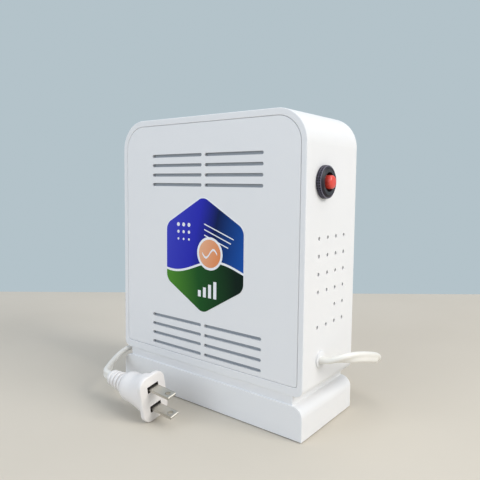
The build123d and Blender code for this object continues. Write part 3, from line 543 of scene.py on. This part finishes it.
# %% Coloured mouldings, vinyl, rubber, tape and insulation
black_plastic = finish(
    "black_moulding", (0.022, 0.022, 0.027), 0.36, grain=1200, edge=0.35, edge_colour=(0.16, 0.16, 0.18)
)
red_plastic = finish("red_moulding", (0.72, 0.065, 0.045), 0.36, grain=1200, depth=0.1, edge=0.2, coat=0.1)
insert_plastic = finish("dark_insert", (0.050, 0.042, 0.038), 0.45, grain=1200)
knurl_plastic = finish("knurled_black", (0.010, 0.008, 0.016), 0.48, grain=1200, specular=0.35)
# Paler flanks of the knurl: a painted highlight where they catch the light
knurl_flank_highlight = finish("knurl_flank_highlight", (0.150, 0.140, 0.190), 0.45, grain=1200)
lead_vinyl = finish(
    "lead_vinyl", (0.81, 0.79, 0.735), 0.40, grain=900, depth=0.12, marks=0.2, tint=(0.72, 0.70, 0.645)
)
plug_vinyl = finish(
    "plug_vinyl", (0.83, 0.80, 0.775), 0.36, grain=1300, depth=0.12, tint=(0.70, 0.68, 0.65)
)
grey_rubber = finish("foot_rubber", (0.09, 0.09, 0.09), 0.75, grain=900, depth=0.5)
black_rubber = finish("pad_rubber", (0.02, 0.02, 0.02), 0.8, grain=900, depth=0.5)
yellow_tape = finish("film_tape", (0.72, 0.55, 0.13), 0.25, grain=300, depth=0.3)
black_lead = finish("black_insulation", (0.02, 0.02, 0.02))
red_lead = finish("red_insulation", (0.45, 0.02, 0.02))
white_lead = finish("white_insulation", (0.75, 0.75, 0.72))
print("finishes so far:", len(bpy.data.materials))

# %% Metals
zinc = finish("zinc_plate", (0.62, 0.62, 0.60), 0.32, metallic=1.0, grain=600, depth=0.15, marks=0.3)
core_steel = finish("core_strip", (0.18, 0.18, 0.19), 0.45, metallic=1.0, grain=400, depth=0.4)
copper = finish("enamelled_copper", (0.55, 0.20, 0.07), 0.28, metallic=1.0, grain=500, depth=0.5, marks=0.3)
fuse_metal = finish("fuse_can", (0.70, 0.70, 0.69), 0.25, metallic=1.0)
spring_steel = finish("spring_wire", (0.60, 0.60, 0.61), 0.25, metallic=1.0)
brass = finish("stamped_brass", (0.70, 0.48, 0.16), 0.3, metallic=1.0)
# On the blades the edge colour is darker: partly wear, partly painted shade that marks the holes and dims the
# lit tips
nickel = finish(
    "nickel_blade", (0.60, 0.58, 0.53), 0.40, metallic=1.0, grain=250, depth=0.12, marks=0.5,
    tint=(0.40, 0.38, 0.33), edge=0.9, edge_radius=0.7 * MM, edge_colour=(0.36, 0.34, 0.30),
)
print("finishes:", len(bpy.data.materials))

# %% [markdown]
# ## Shade in the grooves
# The long grooves of the front are blind, and their bottoms look grey. An occlusion node could darken them,
# but it is slow and grainy. A mask by depth is exact: it reads how far behind the front face a point lies,
# and mixes the white with a grey near the bottom.

# %% Darken the grooves by depth
shade_start = 1.0 * MM
shade_full = 1.75 * MM
shade_colour = (0.34, 0.365, 0.395, 1)
panel_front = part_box("front_panel")[0][1]
tree = grooved_white.node_tree
shader = tree.nodes["Principled BSDF"]
plain = shader.inputs["Base Color"].links[0].from_socket
place = add(tree, "TexCoord")
axes = add(tree, "SeparateXYZ")
deep = map_range(
    tree, panel_front + shade_start, panel_front + shade_full, interpolation_type="SMOOTHSTEP"
)
shaded = add(tree, "Mix", data_type="RGBA")
shaded.inputs[second_colour].default_value = shade_colour
connect(tree, [
    (place.outputs["Object"], axes.inputs["Vector"]),
    (axes.outputs["Y"], deep.inputs["Value"]),
    (deep.outputs["Result"], shaded.inputs["Factor"]),
    (plain, shaded.inputs[first_colour]),
    (shaded.outputs[mixed_colour], shader.inputs["Base Color"]),
])
print("front face at", round(panel_front * 1000, 2), "mm")

# %% [markdown]
# ## Finishes on the frame's own nodes
# Most pieces keep the shape that the CAD gave them. They could be modelled again, but their shape is true
# already, so they only get a material in the place of their plain one.

# %% Dress the nodes
node_finishes = [
    (shell_white, ["housing_shell"]),
    (grooved_white, ["front_panel"]),
    (foot_white, ["pedestal"]),
    (white, ["rear_cover", "base_plate", "outlet_body"]),
    (zinc, ["case_screws", "neck_screws", "base_screws", "bracket_screws"]),
    (zinc, ["dish_washer", "centre_bolt", "centre_nut", "mount_bracket"]),
    (grey_rubber, ["rubber_feet"]),
    (black_rubber, ["rear_pad", "front_pad"]),
    (core_steel, ["ring_core"]),
    (copper, ["common_winding", "series_winding"]),
    (yellow_tape, ["interlayer_tape", "outer_wrap"]),
    (fuse_metal, ["thermal_fuse"]),
    (black_plastic, ["breaker_case", "breaker_bushing"]),
    (insert_plastic, ["plug_insert"]),
    (brass, ["breaker_terminals", "bimetal_disc", "outlet_contacts"]),
    (spring_steel, ["reset_spring"]),
    (nickel, ["plug_blades"]),
    (black_lead, ["line_lead", "fuse_lead"]),
    (red_lead, ["winding_lead", "output_lead"]),
    (white_lead, ["neutral_lead", "output_neutral_lead"]),
]


def dress(piece, *materials):
    """Gives a piece these materials in place of the ones it has."""
    piece.data.materials.clear()
    for material in materials:
        piece.data.materials.append(material)


for material, nodes in node_finishes:
    for node in nodes:
        dress(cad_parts[node], material)
dress(lead, lead_vinyl)
print("dressed nodes:", sum(len(nodes) for _, nodes in node_finishes))

# %% [markdown]
# ## The plug
# The moulding has a flat rounded face plate, a grip that tapers in a long curve and a ribbed strain relief.
# Curves could be skinned into such a form, but the change from an oval grip to a round relief is easier as
# steps along one axis. The plate is a block with rounded corners, and the grip and the relief are one circle
# that is extruded and resized step by step. The whole is then turned onto its place beside the front.

# %% Name a primitive, apply a modifier, select by a test
def named(name, scale=(1, 1, 1)):
    """Names and scales the primitive that was just added, and puts its place into its mesh."""
    piece = bpy.context.object
    piece.name = name
    piece.scale = scale
    bpy.ops.object.transform_apply(location=True, rotation=True, scale=True)
    return piece


def apply_modifier(piece, kind, **settings):
    modifier = piece.modifiers.new(kind.lower(), kind)
    for name, value in settings.items():
        setattr(modifier, name, value)
    pick(piece)
    bpy.ops.object.modifier_apply(modifier=modifier.name)


def select_where(piece, kind, test):
    """Selects the faces or edges that pass the test, in edit mode, and counts them."""
    open_edit(piece, kind)
    mesh = bmesh.from_edit_mesh(piece.data)
    parts = mesh.faces if kind == "FACE" else mesh.edges
    chosen = [part for part in parts if test(part)]
    for part in chosen:
        part.select = True
    mesh.select_flush_mode()
    bmesh.update_edit_mesh(piece.data)
    return len(chosen)


print("modelling helpers ready")

# %% Face plate
plate_half_width = 9.6 * MM
plate_half_height = 14.3 * MM
plate_thick = 3.0 * MM
plate_corner = 6.0 * MM
plate_edge = 0.8 * MM


def runs_through_plate(edge):
    return abs(edge.verts[0].co.z - edge.verts[1].co.z) > plate_thick / 2


def borders_flat_face(edge):
    return any(abs(face.normal.z) > 0.9 for face in edge.link_faces)


clear_selection()
bpy.ops.mesh.primitive_cube_add(size=2, location=(0, 0, -plate_thick / 2))
plug = named("plug_moulding", (plate_half_width, plate_half_height, plate_thick / 2))
corners = select_where(plug, "EDGE", runs_through_plate)
bpy.ops.mesh.bevel(offset=plate_corner, segments=12, profile=0.5)
close_edit()
rims = select_where(plug, "EDGE", borders_flat_face)
bpy.ops.mesh.bevel(offset=plate_edge, segments=3, profile=0.6)
close_edit()
print("plate corners", corners, "rim edges", rims, "faces", len(plug.data.polygons))

# %% Pockets round the blades
pocket_half_width = 4.15 * MM
pocket_half_thick = 2.0 * MM
pocket_depth = 2.7 * MM
blade_pitch = 12.7 * MM
for side in (-1, 1):
    clear_selection()
    bpy.ops.mesh.primitive_cube_add(size=2, location=(0, side * blade_pitch / 2, 0))
    cutter = named("pocket_cutter", (pocket_half_width, pocket_half_thick, pocket_depth))
    apply_modifier(plug, "BOOLEAN", object=cutter, operation="DIFFERENCE", solver="EXACT")
    bpy.data.objects.remove(cutter)
print("faces with the pockets", len(plug.data.polygons))

# %% Dark lining of the pockets
rounding = 1e-6
face_margin = 0.1 * MM


def in_pocket(place):
    """True for the walls and the bottom of a pocket."""
    across = abs(place.x) <= pocket_half_width + rounding
    along = abs(abs(place.y) - blade_pitch / 2) <= pocket_half_thick + rounding
    return across and along and -pocket_depth - rounding <= place.z < -face_margin


dress(plug, plug_vinyl, insert_plastic)
for face in plug.data.polygons:
    face.material_index = 1 if in_pocket(face.center) else 0
print("dark faces", sum(face.material_index for face in plug.data.polygons))

# %% Stations of the grip, in millimetres: distance behind the face, half height, half width
stations = [
    (2.6, 13.3, 8.8), (3.6, 13.4, 8.9), (6, 13.2, 8.9), (8.5, 12.4, 8.8), (11, 11.2, 8.6),
    (13.5, 10.1, 8.5), (15.5, 9.5, 8.5), (17.5, 9.3, 8.6), (19.5, 9.3, 8.7), (21.3, 9.1, 8.5),
    (22.8, 8.7, 8.1), (23.8, 8.1, 7.6), (24.5, 7.3, 7.0), (24.8, 6.6, 6.6),
]
relief_start = stations[-1][0]
print("grip stations", len(stations), "to", relief_start, "mm")

# %% Stations of the strain relief, in millimetres
rib_count = 4
rib_pitch = 3.6
wide_rib = 6.1
thin_rib = 4.9
core_radius = 4.2
tail_radius = 3.4
last_rib_share = 0.8
# Where the core shows in one pitch, and where its rib has which share of its radius
core_places = [0.08, 0.34]
rib_shape = [(0.42, 0.96), (0.52, 1), (0.88, 1), (0.98, 0.96)]
for rib in range(rib_count):
    start = relief_start + rib * rib_pitch
    radius = wide_rib + (thin_rib - wide_rib) * rib / (rib_count - 1)
    ring = [(along, core_radius) for along in core_places]
    ring += [(along, radius * share) for along, share in rib_shape]
    stations += [(start + rib_pitch * along, wide, wide) for along, wide in ring]
relief_stop = relief_start + rib_count * rib_pitch
last_radius = thin_rib * last_rib_share
stations.append((relief_stop, last_radius, last_radius))
stations.append((plug_length, tail_radius, tail_radius))
print("all stations", len(stations))

# %% Extrude the grip and the relief
first_along, first_tall, first_wide = stations[0]
clear_selection()
bpy.ops.mesh.primitive_circle_add(vertices=48, radius=1, fill_type="NGON", location=(0, 0, -first_along * MM))
grip = named("plug_grip", (first_wide * MM, first_tall * MM, 1))
open_edit(grip)
for (near, tall, wide), (far, next_tall, next_wide) in zip(stations, stations[1:]):
    bpy.ops.mesh.extrude_region_move(TRANSFORM_OT_translate={"value": (0, 0, -(far - near) * MM)})
    bpy.ops.transform.resize(
        value=(next_wide / wide, next_tall / tall, 1), center_override=(0, 0, -far * MM)
    )
close_edit()
recalculate(grip)
dress(grip, plug_vinyl)
print("grip faces", len(grip.data.polygons))

# %% Join the plug and set it down
def join(target, others):
    """Makes one piece of several. It keeps the target's name."""
    clear_selection()
    for piece in [target, *others]:
        piece.select_set(True)
    bpy.context.view_layer.objects.active = target
    bpy.ops.object.join()


def settle(piece, place):
    """Puts a finished piece's place on the object into its mesh."""
    pick(piece)
    bpy.ops.object.transform_apply(location=True, rotation=True, scale=True)
    piece.data.transform(place)
    piece.data.update()


join(plug, [grip])
settle(plug, turned_to(plug_across, plug_up, plug_forward, plug_face))
smooth(plug, angle=40)
lowest = min(vertex.co.z for vertex in plug.data.vertices)
print("plug faces", len(plug.data.polygons), "lowest", round(lowest * 1000, 3), "mm")

# %% [markdown]
# ## The knurled nut
# The nut holds the breaker's collar in the side of the housing, and its knurled rim is gripped to tighten
# it. A bump could draw the knurl, but it is deep enough to show in the outline. So a circle is extruded up,
# in and down again like work on a lathe, and the faces round its rim are inset one by one with a small rise.
# The flanks between them get a paler colour, a painted highlight, because they catch the light.

# %% Lathe shapes
def lathe(name, profile, sides):
    """Extrudes a circle through the profile's stations of radius and height."""
    clear_selection()
    bpy.ops.mesh.primitive_circle_add(vertices=sides, radius=profile[0][0], location=(0, 0, profile[0][1]))
    piece = named(name)
    open_edit(piece)
    for (radius, rise), (next_radius, next_rise) in zip(profile, profile[1:]):
        bpy.ops.mesh.extrude_edges_move(TRANSFORM_OT_translate={"value": (0, 0, next_rise - rise)})
        share = next_radius / radius
        bpy.ops.transform.resize(value=(share, share, 1), center_override=(0, 0, next_rise))
    close_edit()
    return piece


def facing_right(node, x):
    """Matrix that turns a lathe's axis to the right, on the middle of a node, with its zero at that X."""
    low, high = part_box(node)
    place = (x, (low[1] + high[1]) / 2, (low[2] + high[2]) / 2)
    return Matrix.Translation(place) @ Matrix.Rotation(radians(90), 4, "Y")


print("lathe ready")

# %% Turn the nut
nut_low, nut_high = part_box("breaker_nut")
nut_base = nut_low[0]
nut_radius = (nut_high[1] - nut_low[1]) / 2
nut_bore = 7.05 * MM
nut_face_radius = 7.5 * MM
knurl_count = 40
knurl_rise = 0.5 * MM
proud_more = 0.5 * MM
nut_reach = nut_high[0] - nut_base + proud_more
rim = nut_radius - knurl_rise
nut_profile = [
    (nut_bore, 0),
    (rim - 0.2 * MM, 0),
    (rim, 0.15 * MM),
    (rim, 1.5 * MM),
    (rim - 0.2 * MM, 2.9 * MM),
    (nut_face_radius, nut_reach - 0.05 * MM),
    (nut_face_radius - 0.12 * MM, nut_reach),
    (nut_bore + 0.25 * MM, nut_reach),
    (nut_bore, nut_reach - 0.25 * MM),
    (nut_bore, 0),
]
nut = lathe("collar_nut", nut_profile, knurl_count)
recalculate(nut)
print("nut reaches", round(nut_reach * 1000, 2), "mm out")

# %% Raise the knurl
knurl_gap = 0.19 * MM
knurl_low = 0.16 * MM
knurl_high = 3.0 * MM
smallest_face = 0.5 * MM**2
outside = nut_bore * 1.1


def stands_up(face):
    """True for the wide faces round the rim, which rise as the knurl."""
    sideways = abs(face.normal.z) < 0.75
    wide = face.calc_area() > smallest_face
    return sideways and wide and face.calc_center_median().xy.length > outside


raised = select_where(nut, "FACE", stands_up)
bpy.ops.mesh.inset(thickness=knurl_gap, depth=knurl_rise, use_individual=True)
close_edit()
dress(nut, knurl_plastic, knurl_flank_highlight)
# Rim faces that don't rise, the flanks of the knurl, take the painted highlight
for face in nut.data.polygons:
    on_rim = knurl_low < face.center.z < knurl_high and face.center.xy.length > outside
    face.material_index = 1 if on_rim and not face.select else 0
settle(nut, facing_right("breaker_nut", nut_base))
smooth(nut, angle=12)
print("raised faces", raised, "of", len(nut.data.polygons))

# %% [markdown]
# ## The red button
# The button resets the breaker, and it is a smooth red peg with a domed face. A cylinder with one bevel
# would look flat in the middle, and a dome with its own profile catches the light all over. It is one more
# lathe shape. Such a shape keeps a pinhole at each end of its axis, so both ends are filled.

# %% Close the ends of a lathe shape
pinhole = 0.05 * MM


def close_ends(piece):
    """Fills the small round holes that a lathe shape keeps at both ends."""
    open_edit(piece, "EDGE")
    bpy.ops.mesh.select_non_manifold()
    bpy.ops.mesh.fill_holes(sides=0)
    close_edit()
    recalculate(piece)


print("pinhole radius", pinhole * 1000, "mm")

# %% Turn the button
button_radius = 3.75
button_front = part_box("reset_button")[1][0] - nut_base + proud_more
button_back = 60 * MM - nut_base
# Radius, and distance behind the front, in millimetres
button_crown = [
    (1.5, 0.03), (2.3, 0.1), (2.8, 0.22), (3.2, 0.42), (3.5, 0.7), (3.68, 1.05),
    (button_radius, 1.5), (button_radius, 6),
]
button_profile = [(pinhole, button_front)]
button_profile += [(radius * MM, button_front - behind * MM) for radius, behind in button_crown]
button_profile += [(button_radius * MM, button_back), (pinhole, button_back)]
button = lathe("reset_cap", button_profile, 64)
close_ends(button)
settle(button, facing_right("breaker_nut", nut_base))
smooth(button, angle=40)
dress(button, red_plastic)
print("button front at", round((button_front + nut_base) * 1000, 1), "mm")

# %% [markdown]
# ## The bushing of the lead
# A small round collar carries the lead through the side of the housing. It is pressed in from outside, and
# only its thin rim shows. The CAD's own bushing could stay, but its rim is wider than the real one. So it is
# turned again on the same axis, with a rim that just covers the hole.

# %% Lead bushing
bushing_low, bushing_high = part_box("cord_bushing")
bushing_rim = 4.8 * MM
bushing_neck = 4.4 * MM
bushing_collar = 5.6 * MM
bushing_tail = 4.0 * MM
rim_thick = 1.0 * MM
tail_length = 5.0 * MM
collar_length = 3.0 * MM
bushing_back = bushing_low[0] - bushing_high[0]
tail_front = bushing_back + tail_length
collar_front = tail_front + collar_length
bushing_profile = [
    (pinhole, 0),
    (bushing_rim - 0.4 * MM, 0),
    (bushing_rim - 0.12 * MM, -0.12 * MM),
    (bushing_rim, -0.4 * MM),
    (bushing_rim, -rim_thick),
    (bushing_neck, -rim_thick),
    (bushing_neck, collar_front),
    (bushing_collar, collar_front),
    (bushing_collar, tail_front),
    (bushing_tail, tail_front),
    (bushing_tail, bushing_back),
    (pinhole, bushing_back),
]
bushing = lathe("lead_bushing", bushing_profile, 48)
close_ends(bushing)
settle(bushing, facing_right("cord_bushing", bushing_high[0]))
smooth(bushing, angle=40)
dress(bushing, white)
print("bushing is", round(-bushing_back * 1000, 2), "mm long")

# %% [markdown]
# ## The label
# The label is a printed film with six sides and round corners. Its print is a generic design of plain fields
# and simple shapes: a blue field above, a green field below, a white line between them, and an orange disc
# with a wave. A picture file could hold it, but it would blur close up. So each field is a thin inlay, one to
# three hundredths of a millimetre above the one that it covers, and its edge stays sharp at any size.

# %% Size and layers of the label
label_low, label_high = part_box("label")
label_x = (label_low[0] + label_high[0]) / 2
label_z = (label_low[2] + label_high[2]) / 2
label_back = label_high[1]
label_radius = 36.8 * MM
label_corner = 7.0 * MM
print_border = 0.5 * MM
# The print sits a little low on its film, so more of the bare film shows above it
print_drop = 0.4 * MM
# Lowest and highest height of each layer, in millimetres
layers = {
    "film": (0, 0.16), "blue": (0.10, 0.18), "green": (0.10, 0.19), "divider": (0.10, 0.20),
    "ring": (0.10, 0.21), "disc": (0.10, 0.22), "wave": (0.15, 0.23), "bar": (0.12, 0.21),
    "small": (0.12, 0.20), "cutter": (-1, 1),
}


def layer_heights(layer):
    low, high = layers[layer]
    return low * MM, high * MM


print("label centre", round(label_x * 1000, 2), round(label_z * 1000, 2))

# %% Films, strips and discs
def raise_flat(piece, height):
    """Gives a flat sheet its height."""
    open_edit(piece)
    bpy.ops.mesh.extrude_region_move(TRANSFORM_OT_translate={"value": (0, 0, height)})
    close_edit()
    recalculate(piece)
    return piece


def hexagon_film(name, radius, corner, layer):
    """A thin six-sided film with round corners."""
    low, high = layer_heights(layer)
    clear_selection()
    bpy.ops.mesh.primitive_circle_add(vertices=6, radius=radius, fill_type="NGON", location=(0, 0, low))
    film = named(name)
    open_edit(film)
    bpy.ops.mesh.bevel(offset=corner * tan(radians(30)), segments=8, affect="VERTICES")
    close_edit()
    return raise_flat(film, high - low)


def strip(name, left, right, edges, layer, columns=72):
    """A thin strip whose lower and upper edges follow two curves."""
    low, high = layer_heights(layer)
    bottom, top = edges
    clear_selection()
    bpy.ops.mesh.primitive_grid_add(x_subdivisions=columns, y_subdivisions=1, size=2, location=(0, 0, low))
    piece = named(name)
    for vertex in piece.data.vertices:
        x = left + (right - left) * (vertex.co.x + 1) / 2
        edge = top if vertex.co.y > 0 else bottom
        vertex.co = (x, edge(x), low)
    return raise_flat(piece, high - low)


def disc(name, x, z, radius, layer, sides):
    low, high = layer_heights(layer)
    clear_selection()
    bpy.ops.mesh.primitive_cylinder_add(
        vertices=sides, radius=radius, depth=high - low, location=(x, z, (low + high) / 2)
    )
    return named(name)


def level_edge(height):
    return lambda x: height


def band(middle, half):
    """The lower and upper edges of a band round a middle curve."""
    return lambda x: middle(x) - half, lambda x: middle(x) + half


print("print shapes ready")

# %% Film and fields
field_radius = label_radius - print_border
field_corner = label_corner - print_border
field_reach = 40 * MM
horizon_height = -7.5 * MM
horizon_rise = 4.2 * MM
horizon_length = 11.5 * MM
horizon_start = 0.6
divider_half = 0.7 * MM


def horizon(x):
    """Height of the line between the two fields."""
    return horizon_height + horizon_rise * sin(x / horizon_length + horizon_start)


film = hexagon_film("label_print", label_radius, label_corner, "film")
blue_field = hexagon_film("blue_field", field_radius, field_corner, "blue")
outline = hexagon_film("field_outline", field_radius, field_corner, "cutter")
green_edges = (level_edge(-field_reach), horizon)
green_field = strip("green_field", -field_reach, field_reach, green_edges, "green")
divider = strip("field_divider", -field_reach, field_reach, band(horizon, divider_half), "divider")
for piece in (green_field, divider):
    apply_modifier(piece, "BOOLEAN", object=outline, operation="INTERSECT", solver="EXACT")
bpy.data.objects.remove(outline)
print("label fields", [len(piece.data.polygons) for piece in (blue_field, green_field, divider)])

# %% Disc with a wave
disc_x = 5.5 * MM
disc_z = 1.5 * MM
ring_radius = 10.2 * MM
disc_radius = 8.7 * MM
wave_reach = 6.0 * MM
wave_rise = 2.6 * MM
wave_half = 0.65 * MM


def wave(x):
    """Height of the middle of the wave."""
    return disc_z + wave_rise * sin((x - disc_x) * pi / wave_reach)


white_ring = disc("white_ring", disc_x, disc_z, ring_radius, "ring", 64)
orange_disc = disc("orange_disc", disc_x, disc_z, disc_radius, "disc", 64)
wave_edges = band(wave, wave_half)
white_prints = [strip("wave_sign", disc_x - wave_reach, disc_x + wave_reach, wave_edges, "wave", 40)]
print("wave faces", len(white_prints[0].data.polygons))

# %% Level bars
bar_left = -4.0 * MM
bar_pitch = 4.2 * MM
bar_width = 2.4 * MM
bar_foot = -26 * MM
first_bar = 4.0 * MM
bar_growth = 2.2 * MM
for n in range(4):
    left = bar_left + n * bar_pitch
    edges = (level_edge(bar_foot), level_edge(bar_foot + first_bar + n * bar_growth))
    white_prints.append(strip("level_bar", left, left + bar_width, edges, "bar", 1))
print("motifs", len(white_prints))

# %% Dots that grow from row to row
dot_left = -21 * MM
dot_foot = 9 * MM
dot_pitch = 4.6 * MM
smallest_dot = 0.75 * MM
dot_growth = 0.25 * MM
for row in range(3):
    dot_radius = smallest_dot + dot_growth * row
    dot_z = dot_foot + row * dot_pitch
    for column in range(3):
        white_prints.append(disc("dot", dot_left + column * dot_pitch, dot_z, dot_radius, "small", 20))
print("motifs", len(white_prints))

# %% Slanting lines
line_left = 1.0 * MM
line_right = 24 * MM
line_shortening = 2.0 * MM
line_top = 19.5 * MM
line_pitch = 3.4 * MM
line_half = 0.35 * MM
line_slope = 0.35


def slant(start):
    """The middle of a line that falls to the right."""
    return lambda x: start - (x - line_left) * line_slope


for n in range(3):
    right = line_right - n * line_shortening
    edges = band(slant(line_top - n * line_pitch), line_half)
    white_prints.append(strip("slant_line", line_left, right, edges, "small", 1))
print("motifs", len(white_prints))

# %% [markdown]
# ## Inks
# Printed colour on a film is flat and smooth, and such prints fade from one tone to another. Many thin
# stripes of one colour each could make the fade, but a gradient is smooth and has few numbers: a direction,
# a start and an end on the label, and a ramp of colours between them. The white has faint marks instead.

# %% Recipes of the inks
def ramp(tree, source, stops):
    """Adds a colour ramp with the given places and colours."""
    node = add(tree, "ValToRGB")
    while len(node.color_ramp.elements) < len(stops):
        node.color_ramp.elements.new(0.5)
    for element, (place, colour) in zip(node.color_ramp.elements, stops):
        element.position = place
        element.color = (*colour, 1)
    tree.links.new(source, node.inputs["Fac"])
    return node


def ink(name, build):
    """A printed film. The build function makes its colour in the material's tree."""
    material, tree, shader = new_material(name, specular=0.12)
    add_grain(tree, shader, Scale=700, Depth=0.06, Roughness=0.42)
    tree.links.new(build(tree), shader.inputs["Base Color"])
    return material


def gradient(stops, direction, near, far):
    """Colour that changes along a direction, between two distances."""
    def build(tree):
        place = add(tree, "TexCoord")
        along = add(tree, "VectorMath", operation="DOT_PRODUCT")
        along.inputs[1].default_value = Vector(direction).normalized()
        span = map_range(tree, near, far)
        tree.links.new(place.outputs["Object"], along.inputs[0])
        tree.links.new(along.outputs["Value"], span.inputs["Value"])
        return ramp(tree, span.outputs["Result"], stops).outputs["Color"]
    return build


def marked_ink(colour, tint):
    """One colour with faint marks."""
    def build(tree):
        marked = place_group(tree, marks_group, Colour=(*colour, 1), Tint=(*tint, 1), Amount=0.3)
        return marked.outputs["Colour"]
    return build


print("ink recipes ready")

# %% The four inks
blue_stops = [
    (0.0, (0.050, 0.060, 0.50)), (0.40, (0.022, 0.026, 0.42)),
    (0.60, (0.002, 0.012, 0.075)), (1.0, (0.008, 0.090, 0.42)),
]
green_stops = [(0.0, (0.070, 0.24, 0.025)), (0.45, (0.010, 0.080, 0.015)), (1.0, (0.001, 0.012, 0.007))]
orange_stops = [(0.0, (0.80, 0.42, 0.25)), (1.0, (0.74, 0.21, 0.05))]
blue_middle = label_x - 25 * MM
blue_fade = gradient(blue_stops, (1, 0, -0.25), blue_middle - label_radius, blue_middle + label_radius)
green_fade = gradient(green_stops, (1, 0, 0.1), label_x - 20 * MM, label_x + 34 * MM)
orange_fade = gradient(orange_stops, (1, 0, -0.3), label_x - 30 * MM, label_x - 10 * MM)
blue_ink = ink("blue_ink", blue_fade)
green_ink = ink("green_ink", green_fade)
orange_ink = ink("orange_ink", orange_fade)
white_film = ink("white_film", marked_ink((0.84, 0.85, 0.87), (0.78, 0.79, 0.81)))
print("finishes and inks:", len(bpy.data.materials))

# %% Put the label together
dress(blue_field, blue_ink)
dress(green_field, green_ink)
dress(orange_disc, orange_ink)
for piece in [film, divider, white_ring, *white_prints]:
    dress(piece, white_film)
printed = [blue_field, green_field, divider, white_ring, orange_disc, *white_prints]
for piece in printed:
    piece.location.y = -print_drop
join(film, printed)
settle(film, Matrix.Translation((label_x, label_back, label_z)) @ Matrix.Rotation(radians(90), 4, "X"))
smooth(film, angle=30)
print("label print", [round(n * 1000, 2) for n in film.dimensions], "inks", len(film.data.materials))

# %% [markdown]
# ## Floor and background
# The object stands on a plain pale sheet that ends behind it. A curved backdrop would hide where the floor
# ends, but the far edge belongs to the view. So the floor is one plane with its corners moved to where that
# edge should show. The world shows its background colour only to the camera, in mirrors and through glass,
# while its light on the object has a colour of its own, a little cool.

# %% Floor
far_left = Vector((-363, 103, 0)) * MM
far_right = Vector((9, 404, 0)) * MM
side_reach = 2.5
near_reach = 3
edge_way = (far_right - far_left).normalized()
near_way = Vector((edge_way.y, -edge_way.x, 0))
left_end = far_left - edge_way * side_reach
right_end = far_right + edge_way * side_reach
floor_corners = [left_end + near_way * near_reach, right_end + near_way * near_reach, left_end, right_end]
clear_selection()
bpy.ops.mesh.primitive_plane_add(size=2, location=(0, 0, 0))
floor = named("floor")
for vertex, corner in zip(floor.data.vertices, floor_corners):
    vertex.co = corner
recalculate(floor)
print("floor size", [round(n, 2) for n in floor.dimensions])

# %% Floor paint
floor_stops = [(0.3, (0.595, 0.545, 0.460)), (0.7, (0.625, 0.575, 0.490))]
floor_paint, tree, shader = new_material("pale_floor", specular=0.2)
shader.inputs["Roughness"].default_value = 0.7
streak_place = add(tree, "TexCoord")
streaks = add(tree, "TexNoise", Scale=6.0, Detail=4.0)
tree.links.new(streak_place.outputs["Object"], streaks.inputs["Vector"])
floor_colour = ramp(tree, streaks.outputs["Fac"], floor_stops)
tree.links.new(floor_colour.outputs["Color"], shader.inputs["Base Color"])
dress(floor, floor_paint)
print("floor tones", len(floor_stops))

# %% World
world_light = (0.430, 0.475, 0.548, 1)
background_colour = (0.455, 0.545, 0.590, 1)
world = bpy.data.worlds.new("studio")
bpy.context.scene.world = world
world.use_nodes = True
tree = world.node_tree
surface = tree.nodes["Background"]
surface.inputs["Strength"].default_value = 1.0
rays = add(tree, "LightPath")
seen = rays.outputs["Is Camera Ray"]
for ray in ("Is Glossy Ray", "Is Transmission Ray"):
    either = add(tree, "Math", operation="MAXIMUM")
    connect(tree, [(seen, either.inputs[0]), (rays.outputs[ray], either.inputs[1])])
    seen = either.outputs[0]
mixed = add(tree, "Mix", data_type="RGBA")
mixed.inputs[first_colour].default_value = world_light
mixed.inputs[second_colour].default_value = background_colour
connect(tree, [(seen, mixed.inputs["Factor"]), (mixed.outputs[mixed_colour], surface.inputs["Color"])])
print("world nodes", len(tree.nodes))

# %% [markdown]
# ## Light
# A soft lamp on the right makes the vented side the brightest, a weaker and cooler one leaves the front face
# in gentle shade, and one above softens the shadows. Small lamps or a sun would give the shadows hard edges,
# and the real ones are soft, so all three are area lamps.

# %% Lamps
def lamp(name, place, target, size, power, colour):
    """A square area lamp that shines from its place at a target."""
    data = bpy.data.lights.new(name, "AREA")
    data.shape = "SQUARE"
    data.size = size
    data.energy = power
    data.color = colour
    made = new_object(name, data)
    made.location = place
    made.rotation_euler = (Vector(target) - Vector(place)).to_track_quat("-Z", "Y").to_euler()


lamp("key_right", (1.4, 0.15, 0.95), (0, 0, 0.11), size=0.8, power=17, colour=(1.0, 0.970, 0.928))
lamp("fill_front", (-0.4, -1.6, 0.9), (0, 0, 0.09), size=1.2, power=12.9, colour=(0.825, 0.905, 1.0))
lamp("top_soft", (0.2, 0.2, 1.6), (0, 0, 0), size=1.2, power=7, colour=(1.0, 0.99, 0.97))
bpy.context.scene.view_settings.view_transform = "Standard"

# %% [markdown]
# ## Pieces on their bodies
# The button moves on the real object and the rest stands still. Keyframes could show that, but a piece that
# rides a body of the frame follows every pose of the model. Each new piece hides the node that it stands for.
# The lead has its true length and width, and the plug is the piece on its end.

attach(lead, "converter")
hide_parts("cord")
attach(plug, "converter")
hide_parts("plug_body")
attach(nut, "converter")
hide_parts("breaker_nut")
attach(bushing, "converter")
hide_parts("cord_bushing")
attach(button, "button")
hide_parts("reset_button")
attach(film, "converter")
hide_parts("label")
